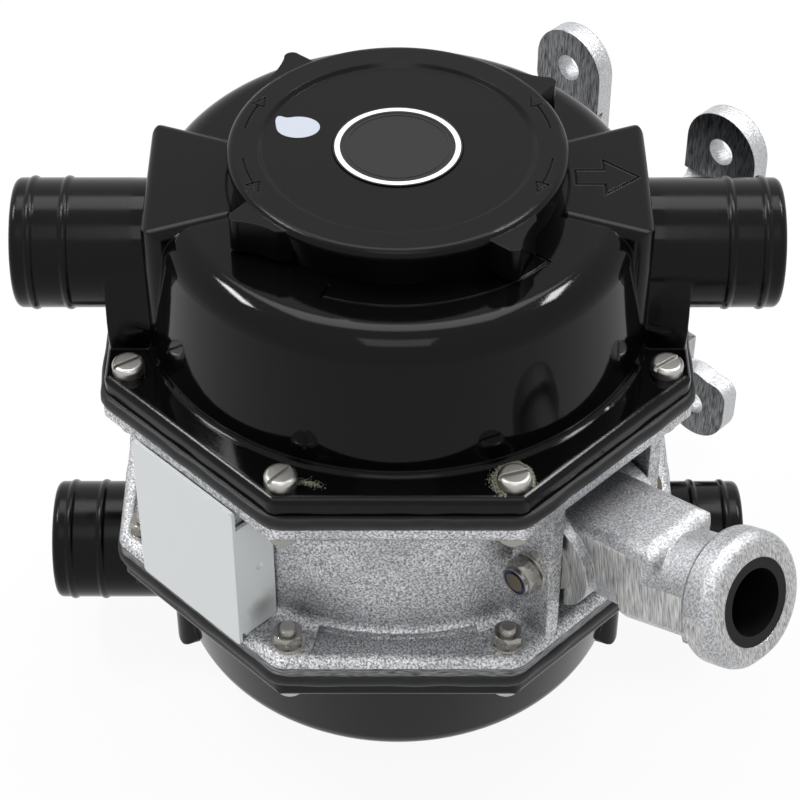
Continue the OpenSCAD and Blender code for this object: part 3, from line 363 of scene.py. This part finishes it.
def moulded_trim(name, colour, roughness, level=0.5):
    """Small moulded or printed trim: even colour, soft sheen, a faint mould texture."""
    material, tree = new_material(name)
    # texture 0.8 mm wide
    grain = add(tree, "ShaderNodeTexNoise", {"Vector": place_of(tree), "Scale": 1200.0,
                                             "Detail": 2.0})
    shader = add(tree, "ShaderNodeBsdfPrincipled", {
        "Base Color": linear(colour), "Roughness": roughness, "Specular IOR Level": level,
        "Normal": bumped(tree, grain.outputs["Fac"], 0.01 * MM)})
    finish_material(tree, shader)
    return material


def badge_lacquered(colour, ring_colour, ring_outer, ring_inner):
    """Badge of lacquered aluminium: satin black with one plain printed ring."""
    material, tree = new_material("badge_lacquered")
    place = place_of(tree)
    flat = add(tree, "ShaderNodeVectorMath", {0: place, 1: (1.0, 1.0, 0.0)}, operation="MULTIPLY")
    radius = add(tree, "ShaderNodeVectorMath", {0: flat.outputs["Vector"], 1: on_axis(0, 0, 0)},
                 operation="DISTANCE").outputs["Value"]
    inside = add(tree, "ShaderNodeMath", {0: radius, 1: ring_outer}, operation="LESS_THAN")
    outside = add(tree, "ShaderNodeMath", {0: radius, 1: ring_inner}, operation="GREATER_THAN")
    ring = add(tree, "ShaderNodeMath", {0: inside.outputs[0], 1: outside.outputs[0]},
               operation="MULTIPLY")
    shader = add(tree, "ShaderNodeBsdfPrincipled", {
        "Base Color": blend_colours(tree, ring.outputs[0], linear(colour), linear(ring_colour)),
        "Roughness": 0.3, "Specular IOR Level": 0.3})
    finish_material(tree, shader)
    return material


# ---------------------------------------------------------------- settings


def colour_property(name, description, default):
    """A colour that the panel shows as sRGB hex."""
    return bpy.props.StringProperty(name=name, description=description + ", sRGB hex",
                                    default=default)


def length_property(name, description, default, low, high):
    """A length whose default and limits are given in millimetres."""
    return bpy.props.FloatProperty(name=name, description=description, default=default * MM,
                                   min=low * MM, max=high * MM, precision=5, unit="LENGTH",
                                   subtype="DISTANCE")


class PumpFinishes(bpy.types.PropertyGroup):
    chamber_colour: colour_property("Chamber colour", "Moulded chambers and hose tails", "#070708")
    cap_colour: colour_property("Cap colour", "The two caps", "#080809")
    casting_colour: colour_property("Casting colour", "Blasted aluminium", "#EBECEE")
    lever_colour: colour_property("Lever colour", "Lever and link, handled smoother", "#DADBDD")
    steel_colour: colour_property("Steel colour", "Screws, washers and pins", "#B2B0AC")
    nut_colour: colour_property("Nut colour", "Nuts, polished and darker", "#94928D")
    cover_colour: colour_property("Cover colour", "Enamelled cover", "#E4E8E8")
    ring_colour: colour_property("Badge ring colour", "Plain ring on the badge", "#E8E8E8")
    ripple: length_property("Moulding ripple", "Depth of the slow ripple in the gloss",
                            0.02, 0.0, 0.2)


class PumpRubber(bpy.types.PropertyGroup):
    lip_reach: length_property("Lip reach", "Half of the width across flats of the clamped lip",
                               86.8, 85.0, 87.5)
    lip_wave: length_property("Lip wave", "How far the squeezed lip bulges in and out",
                              0.25, 0.0, 1.0)
    web_sag: length_property("Web sag", "How far the web rolls toward the mid plane",
                             9.0, 4.0, 10.0)
    colour: colour_property("Rubber colour", "Diaphragms", "#0E0E0F")


class PumpTrim(bpy.types.PropertyGroup):
    label_width: length_property("Label width", "Width of the blank label on the upper cap",
                                 10.0, 4.0, 14.0)
    label_length: length_property("Label length", "Length of that label", 12.4, 4.0, 16.0)
    label_colour: colour_property("Label colour", "Blank paper label", "#AEB4BE")
    thread_pitch: length_property("Thread pitch", "Pitch of the flange screws", 0.8, 0.5, 1.0)
    crumb_size: length_property("Crumb size", "Largest crumb of thread lock", 0.2, 0.1, 1.0)
    crumb_colour: colour_property("Crumb colour", "Dried thread lock", "#9C9C8A")


class PumpStudio(bpy.types.PropertyGroup):
    lamp: bpy.props.FloatProperty(
        name="Lamp power", description="Share of full power of all the soft boxes",
        default=1.0, min=0.0, max=10.0, subtype="FACTOR")
    sky: bpy.props.FloatProperty(
        name="Sky", description="Strength of the even light from all round",
        default=0.35, min=0.0, max=2.0)
    floor_colour: colour_property("Floor colour", "Floor", "#ECECEC")


# ---------------------------------------------------------------- operators


class PUMP_OT_castings(bpy.types.Operator):
    """Finishes the centre casting, the lever and the link"""

    bl_idname = "pump.castings"
    bl_label = "Castings"

    def execute(self, context):
        finishes = context.scene.pump_finishes
        # the body's dark scratch colours are painted shade: they draw the ground ear fronts and rim
        # near black, standing in for the dark surroundings that the ear fronts reflect, over real
        # belt scratches
        dress("centre_body", aluminium_casting(
            "aluminium_blasted_body", finishes.casting_colour, "#78797D",
            self.body_ground_and_shade, ("#2E2F31", "#8A8B8D")))
        lever = aluminium_casting(
            "aluminium_blasted_lever", finishes.lever_colour, "#8A8B8E",
            self.lever_ground, ("#7B7C7E", "#D2D2D0"))
        dress("lever", lever)
        dress("link", lever)
        dress("socket_liner", moulded_trim("nylon_liner", "#0A0A0A", 0.5, 0.2))
        return {"FINISHED"}

    def body_ground_and_shade(self, tree, place):
        """The fronts of the ears and the rim above the lower gasket are ground, and are drawn dark
        as painted shade.
        """
        apart = add(tree, "ShaderNodeSeparateXYZ", {"Vector": place})
        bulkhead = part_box("centre_body")[1].y
        ears = add(tree, "ShaderNodeMath", {0: apart.outputs["Y"], 1: bulkhead - EAR_DEPTH * MM},
                   operation="GREATER_THAN")
        ear_faces = add(tree, "ShaderNodeMath", {0: ears.outputs[0], 1: facing(tree, 0, 1, 0, 0.9)},
                        operation="MULTIPLY")
        # 1 within 1.7 mm of the middle of the rim
        rim = add(tree, "ShaderNodeMath", {0: apart.outputs["Z"], 1: -RIM_DEPTH * MM, 2: 1.7 * MM},
                  operation="COMPARE")
        mask = add(tree, "ShaderNodeMath", {0: ear_faces.outputs[0], 1: rim.outputs[0]},
                   operation="MAXIMUM")
        # the belt ran upright over the ears and level round the rim
        upright = stretched(tree, place, (0, 0, 0), (1.0, 1.0, 9.0))
        level = stretched(tree, place, (0, 0, 0), (9.0, 9.0, 1.0))
        lie = add(tree, "ShaderNodeMix", {0: ears.outputs[0], 4: level, 5: upright},
                  data_type="VECTOR")
        rubbed = add(tree, "ShaderNodeMath", {0: ears.outputs[0], 1: 0.7}, operation="MULTIPLY")
        return mask.outputs[0], lie.outputs[1], rubbed.outputs[0]

    def lever_ground(self, tree, place):
        """The flanks of the arm and the mouth of the socket are ground."""
        apart = add(tree, "ShaderNodeSeparateXYZ", {"Vector": place})
        off = add(tree, "ShaderNodeMath", {0: apart.outputs["Y"], 1: PUMP_AXIS.y},
                  operation="SUBTRACT")
        wide = add(tree, "ShaderNodeMath", {0: off.outputs[0]}, operation="ABSOLUTE")
        outside = add(tree, "ShaderNodeMath", {0: wide.outputs[0], 1: FLANK_OFF * MM},
                      operation="GREATER_THAN")
        flank = add(tree, "ShaderNodeMath", {0: facing(tree, 0, 1, 0, 0.96), 1: outside.outputs[0]},
                    operation="MULTIPLY")
        mouth = facing(tree, math.cos(SOCKET_TILT), 0, math.sin(SOCKET_TILT), 0.97)
        mask = add(tree, "ShaderNodeMath", {0: flank.outputs[0], 1: mouth}, operation="MAXIMUM")
        # the belt ran across the arm, 8 degrees from upright
        lie = stretched(tree, place, (0, math.radians(-8), 0), (1.0, 1.0, 14.0))
        return mask.outputs[0], lie, 0.15


class PUMP_OT_chambers(bpy.types.Operator):
    """Finishes the two moulded chambers and the valve parts inside them"""

    bl_idname = "pump.chambers"
    bl_label = "Chambers"

    def execute(self, context):
        finishes = context.scene.pump_finishes
        gloss = abs_polished_mould(finishes.chamber_colour, finishes.ripple)
        valve = moulded_trim("acetal_moulded", "#1B1B1C", 0.4)
        rubber = nitrile_rubber("#161616")
        for side in ("upper", "lower"):
            dress(side + "_chamber", gloss)
            for port in ("inlet", "outlet"):
                dress(f"{side}_{port}_seat", valve)
                dress(f"{side}_{port}_flap", rubber)
        return {"FINISHED"}


class PUMP_OT_caps(bpy.types.Operator):
    """Finishes the two caps with their seals and blank badges, and lays the blank label"""

    bl_idname = "pump.caps"
    bl_label = "Caps"

    RING_OUTER = 17.9       # mm, radii of the badge's printed ring
    RING_INNER = 16.4
    RECESS = 1.2            # mm, depth of the cap's recess
    LABEL_AT = (-28.4, 9.0)     # mm from the axis, along and across the ports
    LABEL_POINTS = 60       # corners of the label's outline

    def execute(self, context):
        finishes = context.scene.pump_finishes
        satin = abs_satin_mould(finishes.cap_colour)
        seal = nitrile_rubber("#0C0C0C")
        badge = badge_lacquered("#111112", finishes.ring_colour, self.RING_OUTER * MM,
                                self.RING_INNER * MM)
        for side in ("upper", "lower"):
            dress(side + "_cap", satin)
            dress(side + "_cap_seal", seal)
            dress(side + "_cap_badge", badge)
        trim = context.scene.pump_trim
        paper = moulded_trim("paper_label", trim.label_colour, 0.55, 0.3)
        label = mesh_piece("cap_label", lambda bm: self.label(bm, trim), paper, smooth=False)
        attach(label, "upper_cap")
        return {"FINISHED"}

    def label(self, bm, trim):
        """A leaf of paper with one pointed corner, lying in the cap's recess."""
        half_w, half_l = trim.label_width / MM / 2, trim.label_length / MM / 2
        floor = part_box("upper_cap")[1].z / MM - self.RECESS
        point = math.radians(150)
        count = self.LABEL_POINTS
        rings = []
        # paper 0.14 mm thick on a film of glue
        for z in (floor + 0.02, floor + 0.16):
            ring = []
            for i in range(count):
                angle = 2 * math.pi * i / count
                near = max(0.0, math.cos(angle - point)) ** 20
                x = self.LABEL_AT[0] + half_l * math.cos(angle) * (1 + 0.18 * near)
                y = self.LABEL_AT[1] + half_w * math.sin(angle) * (1 + 0.9 * near)
                ring.append(bm.verts.new(along_ports(x, y, z)))
            rings.append(ring)
        for i in range(count):
            n = (i + 1) % count
            bm.faces.new((rings[0][i], rings[0][n], rings[1][n], rings[1][i]))
        bm.faces.new(rings[1])
        bm.faces.new(rings[0][::-1])


class PUMP_OT_diaphragms(bpy.types.Operator):
    """Builds the rubber diaphragms: clamped lip, rolled web and clamped middle"""

    bl_idname = "pump.diaphragms"
    bl_label = "Diaphragms"

    SECTORS = 8
    LIP_HOLE = 65.0     # mm, where the web leaves the lip
    PLATE_EDGE = 31.0   # mm, where the web leaves the clamped middle
    SHEET = 3.0         # mm, thickness inside the lip
    LIP = 4.5           # mm, thickness of the lip
    LIP_CORNER = 8.0    # mm, radius of the lip's corners
    BOLT_HOLE = 4.2     # mm, radius of the hole for the centre bolt
    WEB_STEPS = 12      # rows in a sector, and points from the roll's crest to its foot

    def execute(self, context):
        settings = context.scene.pump_rubber
        rubber = nitrile_rubber(settings.colour)
        for side in ("upper", "lower"):
            low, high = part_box(side + "_diaphragm")
            sign = 1 if side == "upper" else -1
            outer_z = max(abs(low.z), abs(high.z)) / MM
            inner_z = outer_z - self.LIP
            lip = mesh_piece(side + "_lip",
                             lambda bm: self.lip(bm, settings, sign, inner_z, outer_z), rubber)
            middle = mesh_piece(side + "_middle",
                                lambda bm: self.middle(bm, sign, inner_z), rubber)
            pieces = [lip, middle]
            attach(lip, "casing")
            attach(middle, "shuttle")
            span = math.pi / self.SECTORS
            for number in range(self.SECTORS):
                mid = 2 * span * number
                web = mesh_piece(
                    f"{side}_web_{number + 1}",
                    lambda bm: self.web(bm, settings, sign, inner_z, mid - span, mid + span),
                    rubber)
                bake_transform(web)
                pieces.append(web)
            for piece in pieces:
                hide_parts(side + "_diaphragm")
        return {"FINISHED"}

    def lip(self, bm, settings, sign, inner_z, outer_z):
        """A flat octagonal ring whose squeezed rim is round and a little uneven."""
        steps = 24 * self.SECTORS
        reach = settings.lip_reach / MM
        wave = settings.lip_wave / MM
        bulge = 1.4
        half_side = math.radians(22.5)
        # the corners are arcs about centres this far out
        corner = (reach - self.LIP_CORNER) / math.cos(half_side)
        rings = []
        for i in range(steps):
            angle = 2 * math.pi * i / steps
            # degrees from the middle of the nearest side
            within = (math.degrees(angle) + 22.5) % 45 - 22.5
            radius = reach / math.cos(math.radians(within))
            away = math.radians(22.5 - abs(within))
            if corner * math.sin(away) < self.LIP_CORNER * math.sin(half_side):
                arc = math.sqrt(self.LIP_CORNER ** 2 - (corner * math.sin(away)) ** 2)
                radius = min(radius, corner * math.cos(away) + arc)
            radius += wave * math.sin(angle * 31 + sign) * math.sin(angle * 7)
            profile = [(self.LIP_HOLE, inner_z), (radius - bulge, inner_z)]
            for k in range(1, 6):
                turn = math.pi * (k / 6 - 0.5)
                profile.append((
                    radius - bulge + bulge * math.cos(turn),
                    (inner_z + outer_z) / 2 + (outer_z - inner_z) / 2 * math.sin(turn)))
            profile += [(radius - bulge, outer_z), (self.LIP_HOLE, outer_z)]
            rings.append([bm.verts.new(turned(r, angle, sign * z)) for r, z in profile])
        ring_faces(bm, rings)

    def middle(self, bm, sign, inner_z):
        """The disc between the clamp plates, with the hole for the centre bolt."""
        profile = [(self.BOLT_HOLE, inner_z), (self.PLATE_EDGE, inner_z),
                   (self.PLATE_EDGE, inner_z + self.SHEET),
                   (self.BOLT_HOLE, inner_z + self.SHEET)]
        steps = 64
        rings = [[bm.verts.new(turned(r, 2 * math.pi * i / steps, sign * z)) for r, z in profile]
                 for i in range(steps)]
        ring_faces(bm, rings)

    def web(self, bm, settings, sign, inner_z, start, end):
        """One sector of the roll, a sheet that sags toward the mid plane."""
        sag = settings.web_sag / MM
        middle_r = (self.LIP_HOLE + self.PLATE_EDGE) / 2
        half = (self.LIP_HOLE - self.PLATE_EDGE) / 2
        rows = []
        for i in range(self.WEB_STEPS + 1):
            angle = start + (end - start) * i / self.WEB_STEPS
            near, far = [], []
            for k in range(2 * self.WEB_STEPS + 1):
                share = k / self.WEB_STEPS - 1
                radius = middle_r + half * share
                z = inner_z + self.SHEET / 2 - sag * (1 - share * share)
                slope = math.atan2(2 * sag * share, half)
                for row, offset in ((near, -self.SHEET / 2), (far, self.SHEET / 2)):
                    row.append((radius - offset * math.sin(slope), z + offset * math.cos(slope)))
            outline = near + far[::-1]
            rows.append([bm.verts.new(turned(r, angle, sign * z)) for r, z in outline])
        ring_faces(bm, rows, closed_ring=False)
        bm.faces.new(rows[0])
        bm.faces.new(rows[-1][::-1])


class PUMP_OT_fasteners(bpy.types.Operator):
    """Finishes screws, nuts, washers and pins, and cuts threads on the screw ends"""

    bl_idname = "pump.fasteners"
    bl_label = "Fasteners"

    TIP_RADIUS = 2.1        # mm, the screws' plain tips
    TIP_TURNS = 2.3         # threads on a tip
    TIP_START = 0.25        # mm from the end of the tip to the first thread
    RIDGE = 0.38            # mm, height of the thread
    ROOT_SUNK = 0.15        # mm, how deep the thread's foot lies in the tip
    TURN_STEPS = 24         # corners in a turn of the thread
    HEAD_SIDE = 4.9         # mm from a screw's axis at which the crumbs begin
    HEAD_SHADE = 2.4        # mm more on the side of the dome
    SMEAR_AT = (-24.2, -78.2)   # mm from the axis, along and across the ports
    RING_CRUMBS = 1100
    SMEAR_CRUMBS = 200

    def execute(self, context):
        finishes = context.scene.pump_finishes
        steel = stainless_headed(finishes.steel_colour)
        heads = stainless_headed(finishes.steel_colour, roughness=0.34)
        nuts = stainless_headed(finishes.nut_colour, roughness=0.12)
        for name in ("pivot_sleeve", "pivot_washers", "link_pin", "link_pin_clip"):
            dress(name, steel)
        for side in ("upper", "lower"):
            dress(side + "_flange_screws", heads)
            dress(side + "_flange_nuts", nuts)
            for tail in ("_flange_washers", "_inlet_pin", "_outlet_pin", "_inner_plate",
                         "_outer_plate", "_centre_bolt"):
                dress(side + tail, steel)
        dress("pivot_nut", nuts)
        dress("pivot_bolt", stainless_headed("#6E665A", roughness=0.42))
        dress("pivot_nut_insert", moulded_trim("nylon_blue", "#14225A", 0.4))
        dress("pivot_bushes", stainless_headed("#A9A8A4", roughness=0.4))
        self.threads(context.scene.pump_trim, steel)
        self.crumbs(context.scene.pump_trim)
        return {"FINISHED"}

    def threads(self, trim, steel):
        """Ridges on the ends that stand out of the nuts."""
        pitch = trim.thread_pitch / MM
        for side, sign in (("upper", 1), ("lower", -1)):
            # the tips are the set's end toward the mid plane
            low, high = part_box(side + "_flange_screws")
            start = min(abs(low.z), abs(high.z)) / MM + self.TIP_START

            def build(bm):
                for i in range(8):
                    angle = math.radians(FIRST_SCREW + 45 * i) + PORT_TURN
                    foot = turned(SCREW_CIRCLE, angle, sign * start)
                    self.helix(bm, foot, Vector((0, 0, sign)), pitch)

            ridges = mesh_piece(side + "_screw_threads", build, steel)
            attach(ridges, "casing")

    def helix(self, bm, foot, axis, pitch):
        """A closed ridge of triangular section that climbs round an axis."""
        across = axis.orthogonal().normalized()
        side = axis.cross(across)
        steps = int(self.TURN_STEPS * self.TIP_TURNS)
        root = self.TIP_RADIUS - self.ROOT_SUNK
        rings = []
        for i in range(steps + 1):
            angle = 2 * math.pi * i / self.TURN_STEPS
            # the ridge grows and fades over a sixth of its length
            share = i / steps
            grown = self.RIDGE * min(1.0, 6 * share, 6 * (1 - share))
            out = across * math.cos(angle) + side * math.sin(angle)
            climb = axis * (pitch * angle / (2 * math.pi))
            ring = [foot + (out * r + climb + axis * z) * MM
                    for r, z in ((root, -0.3 * pitch), (self.TIP_RADIUS + grown, 0.0),
                                 (root, 0.3 * pitch))]
            rings.append([bm.verts.new(point) for point in ring])
        ring_faces(bm, rings, closed_ring=False)
        bm.faces.new(rings[0])
        bm.faces.new(rings[-1][::-1])

    def crumbs(self, trim):
        """Dried thread lock that was squeezed out beside two of the screws."""
        material = moulded_trim("thread_lock_dried", trim.crumb_colour, 0.7, 0.3)
        largest = trim.crumb_size / MM
        chance = random.Random(4)

        def crumb(bm, x, y, size):
            """One flat grain that stands on the flange."""
            made = bmesh.ops.create_icosphere(bm, subdivisions=1, radius=size * MM)
            centre = along_ports(x, y, FLANGE_TOP + 0.1 * size)
            for vert in made["verts"]:
                vert.co = centre + Vector((vert.co.x, vert.co.y, vert.co.z * 0.5)) \
                    * chance.uniform(0.7, 1.15)

        def build(bm):
            way = math.radians(FIRST_SCREW - 90)
            screw = SCREW_CIRCLE * Vector((math.cos(way), math.sin(way)))
            for _ in range(self.RING_CRUMBS):
                angle = math.radians(chance.uniform(-20, 245))
                # the ring is widest on the side of the dome and the left tail
                width = 0.4 + 0.35 * (1 - math.cos(angle - math.radians(20)))
                away = self.HEAD_SIDE + abs(chance.gauss(0, width)) \
                    + self.HEAD_SHADE * max(0.0, math.sin(angle)) ** 2
                crumb(bm, screw.x + away * math.cos(angle), screw.y + away * math.sin(angle),
                      largest * chance.uniform(0.3, 1.0))
            x, y = self.SMEAR_AT
            for _ in range(self.SMEAR_CRUMBS):
                along, off = chance.gauss(0, 1.8), chance.gauss(0, 0.7)
                crumb(bm, x + along, y - 0.25 * along + off, largest * chance.uniform(0.3, 1.0))

        piece = mesh_piece("thread_lock_crumbs", build, material)
        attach(piece, "casing")


class PUMP_OT_cover(bpy.types.Operator):
    """Finishes the enamelled cover"""

    bl_idname = "pump.cover"
    bl_label = "Cover"

    def execute(self, context):
        dress("cover_plate", enamel_on_sheet(context.scene.pump_finishes.cover_colour))
        return {"FINISHED"}


class PUMP_OT_studio(bpy.types.Operator):
    """Lays the floor and sets the lamps, the sky and the camera"""

    bl_idname = "pump.studio"
    bl_label = "Studio"

    FLOOR_WHITE = 0.93      # how white the floor is where it is seen directly

    def execute(self, context):
        scene = context.scene
        studio = scene.pump_studio
        self.lay_floor(studio)
        self.hang_lamps(scene, studio)
        self.set_camera(scene)
        scene.view_settings.view_transform = "Standard"
        return {"FINISHED"}

    def seen_directly(self, tree, share):
        """The share, for rays of the camera, of reflections and of glass."""
        light_path = add(tree, "ShaderNodeLightPath")
        either = add(tree, "ShaderNodeMath", {0: light_path.outputs["Is Camera Ray"],
                                              1: light_path.outputs["Is Glossy Ray"]},
                     operation="MAXIMUM")
        both = add(tree, "ShaderNodeMath", {0: either.outputs[0],
                                            1: light_path.outputs["Is Transmission Ray"]},
                   operation="MAXIMUM")
        return add(tree, "ShaderNodeMath", {0: both.outputs[0], 1: share},
                   operation="MULTIPLY").outputs[0]

    def lay_floor(self, studio):
        """A matt sheet 6 m wide, half a millimetre under the pump."""
        material, tree = new_material("paper_sweep")
        paper = add(tree, "ShaderNodeBsdfPrincipled", {
            "Base Color": linear(studio.floor_colour), "Roughness": 0.9, "Specular IOR Level": 0.1})
        white = add(tree, "ShaderNodeEmission", {"Color": linear("#FFFFFF"), "Strength": 1.0})
        finish_material(tree, add(tree, "ShaderNodeMixShader", {
            0: self.seen_directly(tree, self.FLOOR_WHITE), 1: paper.outputs[0],
            2: white.outputs[0]}))
        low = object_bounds()[0]

        def build(bm):
            corners = ((-3, -3), (3, -3), (3, 3), (-3, 3))
            bm.faces.new([bm.verts.new((x, y, low.z - 0.0005)) for x, y in corners])

        mesh_piece("floor", build, material, smooth=False)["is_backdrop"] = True

    def hang_lamps(self, scene, studio):
        """Four soft boxes, and an even light from all round."""
        world = bpy.data.worlds.new("studio")
        world.use_nodes = True
        scene.world = world
        tree = world.node_tree
        background = tree.nodes["Background"]
        background.inputs["Color"].default_value = linear("#FFFFFF")
        direct = self.seen_directly(tree, 1.0 - studio.sky)
        strength = add(tree, "ShaderNodeMath", {0: direct, 1: studio.sky}, operation="ADD")
        tree.links.new(strength.outputs[0], background.inputs["Strength"])
        # direction from the pump along the ports, distance and size in metres, brightness
        lamps = (
            ("left_strip", (-0.55, 0.16, 0.82), 1.3, (0.42, 0.1), 62.0),
            ("right_strip", (0.46, 0.25, 0.85), 1.3, (0.42, 0.1), 50.0),
            ("back_top", (0.0, 0.38, 0.92), 1.3, (0.75, 0.6), 4.5),
            ("front_fill", (0.0, -0.53, 0.85), 1.3, (0.5, 0.5), 2.5),
        )
        for name, way, distance, size, bright in lamps:
            light = bpy.data.lights.new(name, "AREA")
            light.shape = "RECTANGLE"
            light.size, light.size_y = size
            light.energy = studio.lamp * bright * math.pi * size[0] * size[1]
            lamp = bpy.data.objects.new(name, light)
            place = along_ports(*(c * distance / MM for c in way)) - on_axis(0, 0, 0)
            lamp.location = on_axis(0, 0, 0) + place
            lamp.rotation_mode = "QUATERNION"
            lamp.rotation_quaternion = place.to_track_quat("Z", "Y")
            scene.collection.objects.link(lamp)

    def set_camera(self, scene):
        """A long lens 0.74 m from the pump, halfway between its front and its lever."""
        camera = bpy.data.cameras.new("camera")
        camera.lens = 107.2
        camera.sensor_width = 36.0
        camera.shift_x = 0.0028
        camera.clip_start, camera.clip_end = 0.05, 20.0
        holder = bpy.data.objects.new("camera", camera)
        holder.location = on_axis(381.5, -381.5, 506.6)
        azimuth, elevation = math.radians(45.0), math.radians(43.22)
        back = Vector((math.sin(azimuth) * math.cos(elevation),
                       -math.cos(azimuth) * math.cos(elevation), math.sin(elevation)))
        holder.rotation_mode = "QUATERNION"
        holder.rotation_quaternion = (-back).to_track_quat("-Z", "Y")
        scene.collection.objects.link(holder)
        scene.camera = holder


class PUMP_PT_panel(bpy.types.Panel):
    """Lists the pump's pieces and their settings"""

    bl_idname = "PUMP_PT_panel"
    bl_label = "Bilge Pump"
    bl_space_type = "VIEW_3D"
    bl_region_type = "UI"
    bl_category = "Bilge Pump"

    def draw(self, context):
        layout = self.layout
        for group in (context.scene.pump_finishes, context.scene.pump_rubber,
                      context.scene.pump_trim, context.scene.pump_studio):
            box = layout.box()
            for name in group.__annotations__:
                box.prop(group, name)
        for step in STEPS:
            layout.operator(step.bl_idname)


STEPS = (PUMP_OT_castings, PUMP_OT_chambers, PUMP_OT_caps, PUMP_OT_diaphragms,
         PUMP_OT_fasteners, PUMP_OT_cover, PUMP_OT_studio)
GROUPS = {"pump_finishes": PumpFinishes, "pump_rubber": PumpRubber,
          "pump_trim": PumpTrim, "pump_studio": PumpStudio}


def register():
    for cls in (*GROUPS.values(), *STEPS, PUMP_PT_panel):
        bpy.utils.register_class(cls)
    for name, group in GROUPS.items():
        setattr(bpy.types.Scene, name, bpy.props.PointerProperty(type=group))


def unregister():
    for name in GROUPS:
        delattr(bpy.types.Scene, name)
    for cls in (PUMP_PT_panel, *reversed(STEPS), *reversed(GROUPS.values())):
        bpy.utils.unregister_class(cls)


def main():
    register()
    for step in STEPS:
        group, name = step.bl_idname.split(".")
        getattr(getattr(bpy.ops, group), name)()


if __name__ == "__main__":
    main()
